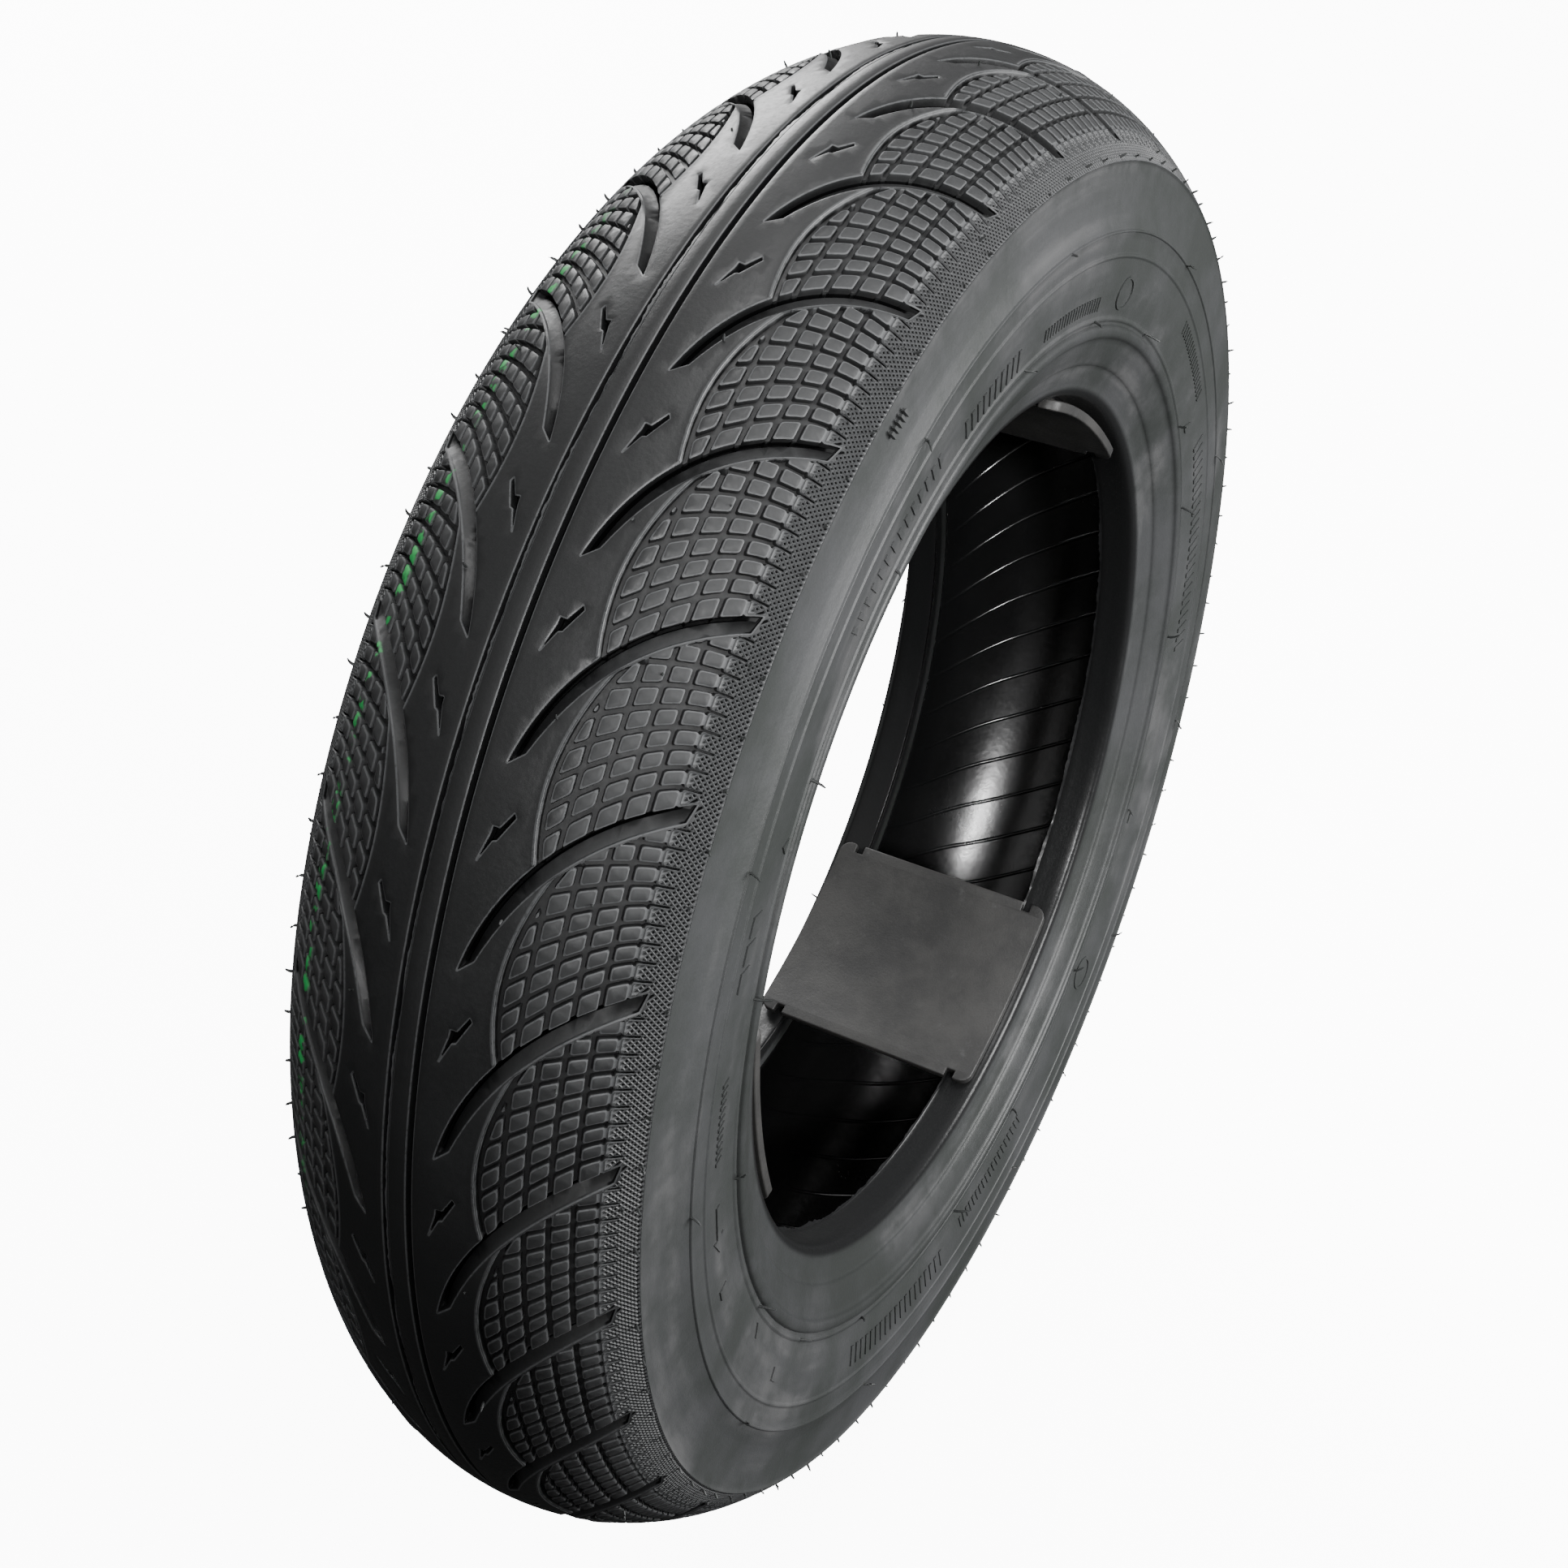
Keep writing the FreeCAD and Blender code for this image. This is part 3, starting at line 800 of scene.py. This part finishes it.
def make_spacer(number):
    """A moulded bead spacer: the design's shape with softened edges."""
    node = "bead_spacer_" + str(number)
    mesh = frame["nodes"][node].data.copy()
    mesh.materials.clear()
    piece = bpy.data.objects.new("spacer_shell_" + str(number), mesh)
    weld = piece.modifiers.new("weld", "WELD")
    weld.merge_threshold = 0.00001
    flatten = piece.modifiers.new("flatten", "DECIMATE")
    flatten.decimate_type = "DISSOLVE"
    flatten.angle_limit = math.radians(1)
    soften = piece.modifiers.new("soften", "BEVEL")
    soften.width = 0.0005
    soften.segments = 3
    soften.angle_limit = math.radians(35)
    register(piece, node, "spacer_plastic", [node])


for number in (1, 2, 3):
    make_spacer(number)


# ------ flash, vents and marks

def make_rim_of_flash(name, section, steps, seed, slot, side="left", width=(0.2, 1.0)):
    """A thin ragged fin of rubber round the tyre. section gives its two roots and its free edge."""
    rng = random.Random(seed)
    ragged = []
    level = 0.5
    for _ in range(steps):
        level = min(1.0, max(0.0, level + rng.uniform(-0.22, 0.22)))
        ragged.append(width[0] + (width[1] - width[0]) * level * rng.uniform(0.6, 1.0))
    angles = np.linspace(0, 2 * math.pi, steps, endpoint=False)
    ragged = np.array(ragged)
    reach_y, reach_r = section[2]
    middle_y, middle_r = np.mean(section[:2], axis=0)
    rows = [turned(y * SIDES[side], r, angles) for y, r in section[:2]]
    rows.append(turned((middle_y + reach_y * ragged) * SIDES[side], middle_r + reach_r * ragged,
                       angles))
    faces = grid_faces(len(rows), steps)
    if side == "right":
        faces = faces[:, ::-1]
    add_piece(name, np.concatenate(rows), faces, slot, sharp=30)


def tube(path, radii, sides=6):
    """Points and faces of a thin closed tube along a few points."""
    path = np.array(path, float)
    along = np.gradient(path, axis=0)
    points = []
    for place, direction, radius in zip(path, along, radii):
        direction = Vector(direction).normalized()
        across = direction.orthogonal().normalized()
        other = direction.cross(across)
        for k in range(sides):
            a = 2 * math.pi * k / sides
            offset = across * math.cos(a) * radius + other * math.sin(a) * radius
            points.append(place + np.array(offset))
    return points, tube_faces(len(path), sides)


def side_place(side, angle, r, lift):
    """A point in space on a sidewall, at an angle in degrees, lifted off the arc."""
    y, radius = side_point(np.array(r, float), np.array(lift, float))
    return turned(SIDES[side] * y, radius, np.radians(np.array(angle, float)))


def tread_place(side, angle, s, lift):
    """A point in space over the tread, at an angle in degrees."""
    y, r = polar(CROWN_CENTRE, CROWN_ARC + lift, math.degrees(s / CROWN_ARC))
    return turned(SIDES[side] * y, r, np.radians(np.array(angle, float)))


HAIR_ROOT = -0.3
HAIR_TAPER = (1.0, 0.95, 0.8, 0.45)


def vent_hair(place, side, angle, across, length, lean, radius=0.4):
    """A rubber hair that stands off a surface. place is tread_place or side_place."""
    steps = ((0.0, HAIR_ROOT), (0.15, 0.35 * length), (0.55, 0.75 * length), (1.0, length))
    path = [place(side, angle + turn * lean, across, lift) for turn, lift in steps]
    return tube(path, [radius * share for share in HAIR_TAPER])


def make_vents(side, seed):
    """Vent stubs on the tread's shoulder edge, hairs on the ridges and nubs on the tread."""
    rng = random.Random(seed)
    hairs = []
    for k in range(100):
        angle = 3.6 * k + rng.uniform(-0.3, 0.3)
        s = TREAD_SPAN - rng.uniform(0.6, 1.4)
        hairs.append(vent_hair(tread_place, side, angle, s, rng.uniform(0.8, 2.0),
                               rng.uniform(-0.3, 0.3)))
    for r, count, longest in ((SIDE_RIDGES[0][0], 11, 3.4), (SIDE_RIDGES[2][0], 17, 5.5)):
        for k in range(count):
            angle = 360 * (k + 0.4) / count + rng.uniform(-5, 5)
            lean = rng.choice((-1, 1)) * rng.uniform(0.2, 1.2)
            hairs.append(vent_hair(side_place, side, angle, r, rng.uniform(1.6, longest), lean))
    for k in range(PITCHES):
        for s, shift in ((16.5, 9.0), (51.0, 3.0), (34.0, 5.6)):
            if rng.random() < 0.45:
                continue
            angle = PHASE[side] + 12 * k + shift + rng.uniform(-1.0, 1.0)
            hairs.append(vent_hair(tread_place, side, angle, s, rng.uniform(0.5, 1.9),
                                   rng.uniform(-0.2, 0.2), 0.33))
    join_parts("vent_hairs_" + side, hairs, "sidewall_rubber")


MARK_ROOT = -0.8
MARK_TOP = 0.1


def raised_outline(side, angle, r, outline):
    """A raised moulded shape. outline is in mm, round the tyre and outwards, about (angle, r)."""
    points = []
    for lift in (MARK_ROOT, MARK_TOP):
        for across, out in outline:
            place = r + out
            points.append(side_place(side, angle + math.degrees(across / place), place, lift))
    return points, tube_faces(2, len(outline))


def bar_row(side, start, end, r, height, width, gap, slant):
    """A row of plain slanted bars between two angles."""
    parts = []
    step = math.degrees((width + gap) / r)
    for k in range(int((end - start) / step)):
        shape = ((-width / 2, -height / 2), (width / 2, -height / 2),
                 (width / 2 + slant, height / 2), (-width / 2 + slant, height / 2))
        parts.append(raised_outline(side, start + k * step, r, shape))
    return parts


def ring_mark(side, angle, r, size, width):
    """A plain raised ring, in short blocks."""
    parts = []
    count = 24
    for k in range(count):
        a, b = 2 * math.pi * k / count, 2 * math.pi * (k + 1) / count
        shape = [(size * math.cos(t) * f, 0.8 * size * math.sin(t) * f)
                 for t, f in ((a, 1), (b, 1), (b, 1 - width / size), (a, 1 - width / size))]
        parts.append(raised_outline(side, angle, r, shape))
    return parts


def make_marks(side):
    """Plain moulded marks where a tyre carries its markings: bars, arrows, rings, triangles."""
    rows = ((71, 86, 155.5, 4.0, 0.9, 1.0, 1.2), (91, 104, 156.0, 7.5, 1.5, 1.9, 2.2),
            (108, 127, 160.0, 5.5, 1.6, 2.1, 1.4), (150, 158, 162.5, 4.5, 5.0, 1.6, 1.0),
            (164, 173, 162.0, 3.0, 0.9, 1.1, 0.8), (236, 262, 161.0, 6.5, 1.6, 2.2, 1.6),
            (266, 284, 158.5, 4.5, 1.1, 1.5, 1.0), (348, 380, 161.0, 6.0, 1.6, 2.1, 1.5),
            (386, 402, 163.5, 3.8, 0.9, 1.4, 0.9), (111.5, 114.5, 187.5, 2.6, 0.8, 0.9, 0.6))
    parts = []
    for row in rows:
        parts += bar_row(side, *row)
    arrow = ((-8, 0.9), (3, 0.9), (3, 2.6), (8.5, 0), (3, -2.6), (3, -0.9), (-8, -0.9))
    triangle = ((-1.9, -1.6), (1.9, -1.6), (0, 2.0))
    square = ((-1.8, -1.8), (1.8, -1.8), (1.8, 1.8), (-1.8, 1.8))
    parts.append(raised_outline(side, 180.0, 161.5, arrow[::-1]))
    parts.append(raised_outline(side, 188.5, 162.0, square))
    parts.append(raised_outline(side, 212.5, 161.0, square))
    for angle in (24, 144, 203, 325):
        parts.append(raised_outline(side, angle, 155.0, triangle))
    for angle in (64, 304):
        parts += ring_mark(side, angle, 158.0, 6.0, 0.9)
    join_parts("side_marks_" + side, parts, "sidewall_rubber", sharp=30)


RIB_FLASH = ((RIB_EDGE - 0.15, TYRE_RADIUS - 0.05), (RIB_EDGE + 0.05, TYRE_RADIUS - 0.7), (1.0, 0.15))
TOE_FLASH = ((30.3, 126.1), (29.6, 126.9), (-0.35, -1.0))
make_rim_of_flash("rib_flash", RIB_FLASH, 1440, 3, "tread_rubber")
for seed, side in enumerate(SIDES):
    make_rim_of_flash("toe_flash_" + side, TOE_FLASH, 900, 11 + seed, "chafer_rubber", side,
                      (0.5, 1.9))
    make_vents(side, 21 + seed)
    make_marks(side)


# ------ materials

class Shader:
    """A Principled material that is put together from a few procedural parts."""

    def __init__(self, name, specular=0.5, metallic=0.0):
        self.material = bpy.data.materials.new(name)
        self.material.use_nodes = True
        self.nodes = self.material.node_tree.nodes
        self.links = self.material.node_tree.links
        self.surface = self.nodes["Principled BSDF"]
        self.surface.inputs["Specular IOR Level"].default_value = specular
        self.surface.inputs["Metallic"].default_value = metallic
        self.place = self.nodes.new("ShaderNodeTexCoord").outputs["Object"]

    def math(self, operation, *values):
        """A sum, product or function of one or two values."""
        node = self.nodes.new("ShaderNodeMath")
        node.operation = operation
        for socket, value in zip(node.inputs, values):
            self.feed(socket, value)
        return node.outputs[0]

    def times(self, product, *others):
        """The product of several values."""
        for other in others:
            product = self.math("MULTIPLY", product, other)
        return product

    def feed(self, socket, value):
        """Link a socket to another one, or set its plain value."""
        if isinstance(value, bpy.types.NodeSocket):
            self.links.new(value, socket)
        else:
            socket.default_value = value

    def noise(self, scale, detail=4.0, roughness=0.55, place=None):
        """Cloudy noise from 0 to 1."""
        node = self.nodes.new("ShaderNodeTexNoise")
        node.inputs["Scale"].default_value = scale
        node.inputs["Detail"].default_value = detail
        node.inputs["Roughness"].default_value = roughness
        self.links.new(place or self.place, node.inputs["Vector"])
        return node.outputs["Fac"]

    def step(self, value, low, high, start=0.0, end=1.0):
        """value, spread smoothly from start to end as it goes from low to high."""
        node = self.nodes.new("ShaderNodeMapRange")
        node.interpolation_type = "SMOOTHSTEP"
        for socket, number in zip(node.inputs, (value, low, high, start, end)):
            self.feed(socket, number)
        return node.outputs[0]

    def mix(self, factor, a, b):
        """A colour between a and b."""
        node = self.nodes.new("ShaderNodeMix")
        node.data_type = "RGBA"
        for socket, value in zip((node.inputs[0], node.inputs[6], node.inputs[7]), (factor, a, b)):
            self.feed(socket, value)
        return node.outputs[2]

    def bump(self, layers):
        """Bump from (height, depth in metres) layers."""
        normal = None
        for height, distance in layers:
            node = self.nodes.new("ShaderNodeBump")
            node.inputs["Distance"].default_value = distance
            self.links.new(height, node.inputs["Height"])
            if normal is not None:
                self.links.new(normal, node.inputs["Normal"])
            normal = node.outputs["Normal"]
        self.links.new(normal, self.surface.inputs["Normal"])

    def finish(self, colour, roughness):
        self.feed(self.surface.inputs["Base Color"], colour)
        self.feed(self.surface.inputs["Roughness"], roughness)
        return self.material

    def ring_place(self):
        """Sockets for y, for the radius and for the angle round the axis, in metres and radians."""
        split = self.nodes.new("ShaderNodeSeparateXYZ")
        self.links.new(self.place, split.inputs[0])
        x, y, z = split.outputs
        squares = self.math("ADD", self.times(x, x), self.times(z, z))
        return y, self.math("SQRT", squares), self.math("ARCTAN2", z, x)

    def ring_vector(self, y, radius, angle, stretch):
        """A place for noise that runs in streaks round the tyre."""
        node = self.nodes.new("ShaderNodeCombineXYZ")
        self.feed(node.inputs[0], y)
        self.feed(node.inputs[1], radius)
        self.feed(node.inputs[2], self.times(self.math("SINE", angle), stretch))
        return node.outputs[0]


def grey(value, tint=(1.0, 1.0, 1.0)):
    return tuple(value * c for c in tint) + (1.0,)


COOL = (0.97, 1.0, 1.03)
GREENISH = (0.93, 1.02, 0.97)
PAINT_GREEN = (0.02, 0.30, 0.07, 1.0)


def crown_distance(mat, y, radius):
    """Distance across the tread from the crown centre, and the height over the crown arc."""
    rise = mat.math("SUBTRACT", radius, CROWN_CENTRE_R * MM)
    angle = mat.math("ARCTAN2", mat.math("ABSOLUTE", y), rise)
    across = mat.times(angle, CROWN_ARC)
    squares = mat.math("ADD", mat.times(rise, rise), mat.times(y, y))
    height = mat.math("SUBTRACT", mat.math("SQRT", squares), CROWN_ARC * MM)
    return across, height


def tread_rubber():
    """Tread rubber: painted shade that darkens grooves and knurl pits, painted highlights on
    chamfered edges and lips, dusty blocks and a broken green paint line.
    """
    mat = Shader("tread_rubber")
    y, radius, angle = mat.ring_place()
    across, height = crown_distance(mat, y, radius)
    cloud = mat.noise(28.0, 5.0)
    speck = mat.noise(900.0, 3.0)
    blocks = mat.step(across, 17.0, 27.0)
    dust = mat.times(blocks, mat.step(cloud, 0.3, 0.7, 0.35, 1.0))
    base = mat.mix(dust, grey(0.012, COOL), grey(0.030, COOL))
    base = mat.mix(mat.step(cloud, 0.45, 0.75, 0.0, 0.5), base, grey(0.020, COOL))
    # Painted highlight: the chamfered land edges and the tops of the raised lips are lightened,
    # broken up by fine specks.
    painted_rim_highlight = mat.times(mat.step(height, -0.00004, -0.00009), mat.step(height, -0.0005, -0.00022))
    lip = mat.step(height, 0.00006, 0.00016)
    edges = mat.times(mat.math("MAXIMUM", painted_rim_highlight, lip), mat.step(speck, 0.3, 0.5, 0.5, 1.0))
    base = mat.mix(edges, base, grey(0.065, COOL))
    # Painted shade: the colour darkens the further the surface lies below the tread surface, down
    # into the grooves.
    base = mat.mix(mat.step(height, -0.0003, -0.0014, 0.0, 0.65), base, grey(0.006, COOL))
    # Painted shade: the knurl pits and the deepest grooves are made near black.
    knurl = mat.step(across, KNURL_START + 0.5, KNURL_START + 1.5)
    pits = mat.times(mat.step(height, -0.00012, -0.00042), mat.step(height, -0.0009, -0.0007),
                     knurl)
    deep = mat.math("MAXIMUM", pits, mat.step(height, -0.0022, -0.0026))
    base = mat.mix(deep, base, grey(0.003, COOL))
    stripe = mat.times(mat.step(across, 35.6, 36.6), mat.step(across, 40.0, 39.0))
    left = mat.math("GREATER_THAN", y, 0.0)
    arc = mat.times(mat.step(angle, 1.75, 1.95), mat.step(angle, 3.12, 2.95))
    broken = mat.step(mat.noise(260.0, 2.0), 0.5, 0.58)
    paint = mat.times(stripe, left, arc, broken, mat.step(height, -0.0009, -0.0001))
    base = mat.mix(paint, base, PAINT_GREEN)
    rough = mat.step(mat.math("ADD", mat.times(dust, 0.7), speck), 0.3, 1.3, 0.40, 0.66)
    # Specular is turned down where that painted shade lies, so it reads darker still.
    mat.feed(mat.surface.inputs["Specular IOR Level"], mat.step(deep, 0.0, 1.0, 0.4, 0.05))
    mat.bump(((mat.noise(140.0, 4.0), 0.00012), (speck, 0.00005)))
    return mat.finish(base, rough)


def streaked_rubber(name, dark, light, rough_low, rough_high, smear):
    """Moulded rubber with chalky smears round the tyre, a fine grain and glossy dark bead seats."""
    mat = Shader(name, specular=0.25)
    y, radius, angle = mat.ring_place()
    streak = mat.noise(70.0, 5.0, 0.6, mat.ring_vector(y, radius, angle, 0.03))
    patch = mat.noise(19.0, 6.0, 0.65)
    grain = mat.noise(1100.0, 3.0)
    smears = mat.times(mat.step(streak, 0.48, 0.72), mat.step(patch, 0.42, 0.68))
    seat = mat.step(radius, 0.1305, 0.1285)
    base = mat.mix(mat.step(patch, 0.35, 0.65), grey(dark, GREENISH), grey(light, COOL))
    base = mat.mix(mat.times(smears, 0.75), base, grey(smear))
    base = mat.mix(seat, base, grey(0.010, COOL))
    rough = mat.step(mat.math("ADD", grain, smears), 0.3, 1.4, rough_low, rough_high)
    rough = mat.math("SUBTRACT", rough, mat.times(seat, 0.12))
    mat.bump(((streak, 0.00025), (mat.noise(160.0, 4.0), 0.00012), (grain, 0.00004)))
    return mat.finish(base, rough)


def liner_rubber():
    """Glossy butyl liner with faint clouds and a rolled grain."""
    mat = Shader("liner_rubber", specular=0.8)
    cloud = mat.noise(24.0, 4.0)
    grain = mat.noise(700.0, 3.0)
    base = mat.mix(cloud, grey(0.005, COOL), grey(0.012, COOL))
    rough = mat.step(mat.math("ADD", cloud, mat.times(grain, 0.4)), 0.35, 1.0, 0.16, 0.28)
    mat.bump(((mat.noise(90.0, 3.0), 0.00015), (grain, 0.00002)))
    return mat.finish(base, rough)


def spacer_plastic():
    """Recycled black plastic: matt, mottled and lightly scuffed."""
    mat = Shader("spacer_plastic", specular=0.4)
    cloud = mat.noise(42.0, 6.0, 0.62)
    speck = mat.noise(1300.0, 3.0)
    scuff = mat.noise(130.0, 8.0, 0.7)
    base = mat.mix(mat.step(cloud, 0.3, 0.7), grey(0.018), grey(0.036, (1.02, 1.0, 0.96)))
    base = mat.mix(mat.step(scuff, 0.60, 0.72, 0.0, 0.5), base, grey(0.06))
    rough = mat.step(mat.math("ADD", scuff, speck), 0.6, 1.4, 0.42, 0.62)
    mat.bump(((cloud, 0.0003), (speck, 0.00005)))
    return mat.finish(base, rough)


def ply_fabric():
    """Rubber-coated nylon cord fabric: parallel cords on a slant."""
    mat = Shader("ply_fabric", specular=0.3)
    y, _, angle = mat.ring_place()
    lean = mat.math("ADD", mat.times(angle, 190.0), mat.times(y, 900.0))
    cord = mat.step(mat.math("SINE", mat.times(lean, 6.0)), -1.0, 1.0)
    cloud = mat.noise(60.0, 4.0)
    base = mat.mix(cord, grey(0.015), grey(0.05, (1.05, 1.0, 0.9)))
    rough = mat.step(cloud, 0.3, 0.7, 0.5, 0.75)
    mat.bump(((cord, 0.0002),))
    return mat.finish(base, rough)


def bead_steel():
    """Bronze-coated bead wire."""
    mat = Shader("bead_steel", metallic=1.0)
    cloud = mat.noise(300.0, 4.0)
    base = mat.mix(cloud, grey(0.42, (1.1, 0.85, 0.6)), grey(0.55, (1.1, 0.9, 0.7)))
    mat.bump(((mat.noise(2000.0, 2.0), 0.00003),))
    return mat.finish(base, mat.step(cloud, 0.3, 0.7, 0.28, 0.45))


def plain_rubber(name, level):
    """Hidden calendered rubber with a soft grain."""
    mat = Shader(name, specular=0.35)
    cloud = mat.noise(80.0, 4.0)
    base = mat.mix(cloud, grey(level * 0.7), grey(level))
    mat.bump(((mat.noise(400.0, 3.0), 0.0001),))
    return mat.finish(base, mat.step(cloud, 0.3, 0.7, 0.5, 0.7))


MATERIALS = {
    "tread_rubber": tread_rubber(),
    "sidewall_rubber": streaked_rubber("sidewall_rubber", 0.030, 0.044, 0.46, 0.66, 0.08),
    "chafer_rubber": streaked_rubber("chafer_rubber", 0.026, 0.040, 0.40, 0.60, 0.08),
    "liner_rubber": liner_rubber(),
    "filler_rubber": plain_rubber("filler_rubber", 0.03),
    "wrap_rubber": plain_rubber("wrap_rubber", 0.025),
    "ply_fabric": ply_fabric(),
    "bead_steel": bead_steel(),
    "spacer_plastic": spacer_plastic(),
}

CAD_PARTS = [(frame["nodes"][part["node"]], part["material_slot"])
             for part in frame["record"]["subparts"]]
for thing, slot in CAD_PARTS + PIECES:
    thing.data.materials.clear()
    thing.data.materials.append(MATERIALS[slot])


# ------ camera, light and floor

def stand(thing, place, direction):
    """Put a camera or a lamp at a place, looking along a direction."""
    holder = bpy.data.objects.new(thing.name, thing)
    holder.location = place
    holder.rotation_euler = Vector(direction).to_track_quat("-Z", "Y").to_euler()
    bpy.context.scene.collection.objects.link(holder)
    return holder


def make_camera():
    """The camera, where the photographer stood."""
    camera = bpy.data.cameras.new("camera")
    camera.lens = 50.7
    camera.sensor_width = 36.0
    camera.shift_x = -0.019
    camera.shift_y = -0.092
    camera.clip_start = 0.01
    return stand(camera, (-0.4539, -0.2309, 0.4170), (0.7180, 0.3817, -0.5821))


bpy.context.scene.camera = make_camera()


FLOOR_RADIUS = 6.0
WALL_HEIGHT = 5.0
FLOOR_SIDES = 64


def make_floor():
    """A round white floor with a low white wall, lit from within and left out of the light."""
    angles = np.linspace(0, 2 * math.pi, FLOOR_SIDES, endpoint=False)
    rim = np.stack([FLOOR_RADIUS * np.cos(angles), FLOOR_RADIUS * np.sin(angles),
                    0 * angles + cad_box[0][2]], 1)
    points = np.concatenate([rim, rim + (0, 0, WALL_HEIGHT)])
    mesh = bpy.data.meshes.new("floor")
    walls = grid_faces(2, FLOOR_SIDES, False).tolist()
    mesh.from_pydata(points.tolist(), [], [list(range(FLOOR_SIDES))] + walls)
    paper = Shader("floor", specular=0.2)
    paper.surface.inputs["Emission Color"].default_value = (1, 1, 1, 1)
    paper.surface.inputs["Emission Strength"].default_value = 10.0
    mesh.materials.append(paper.finish(grey(0.9), 0.8))
    floor = bpy.data.objects.new("floor", mesh)
    floor.visible_diffuse = False
    floor.visible_glossy = False
    floor.visible_shadow = False
    bpy.context.scene.collection.objects.link(floor)


make_floor()


def add_light(lamp, place, aim, power):
    """Stand a lamp at a place and point it at another."""
    lamp.energy = power
    stand(lamp, place, Vector(aim) - Vector(place))


def panel(name, size):
    """A square soft light."""
    lamp = bpy.data.lights.new(name, "AREA")
    lamp.size = size
    return lamp


def spot(name, cone, size):
    """A small lamp with a soft-edged cone in degrees."""
    lamp = bpy.data.lights.new(name, "SPOT")
    lamp.spot_size = math.radians(cone)
    lamp.spot_blend = 1.0
    lamp.shadow_soft_size = size
    return lamp


# The sky's strength from its lowest to its highest direction
SKY_FADE = {"From Min": -0.05, "From Max": 0.95, "To Min": 0.03, "To Max": 0.8}


def make_sky():
    """A soft white room: bright overhead and dark below the horizon."""
    world = bpy.data.worlds.new("studio")
    world.use_nodes = True
    nodes = world.node_tree.nodes
    links = world.node_tree.links
    split = nodes.new("ShaderNodeSeparateXYZ")
    fade = nodes.new("ShaderNodeMapRange")
    links.new(nodes.new("ShaderNodeTexCoord").outputs["Generated"], split.inputs[0])
    links.new(split.outputs["Z"], fade.inputs["Value"])
    for name, value in SKY_FADE.items():
        fade.inputs[name].default_value = value
    links.new(fade.outputs[0], nodes["Background"].inputs["Strength"])
    nodes["Background"].inputs["Color"].default_value = (1, 1, 1, 1)
    bpy.context.scene.world = world


make_sky()
add_light(panel("window", 0.9), (0.5, -1.6, 0.3), (0, 0, 0), 66)
add_light(panel("fill", 0.9), (1.3, 1.3, 0.9), (0, 0, 0), 45)
add_light(panel("overhead", 0.7), (0.1, -0.3, 1.5), (0, 0, 0.1), 11)
add_light(spot("flash", 22, 0.1), (-0.98, -0.76, 0.86), (0.07, -0.02, 0.05), 96)
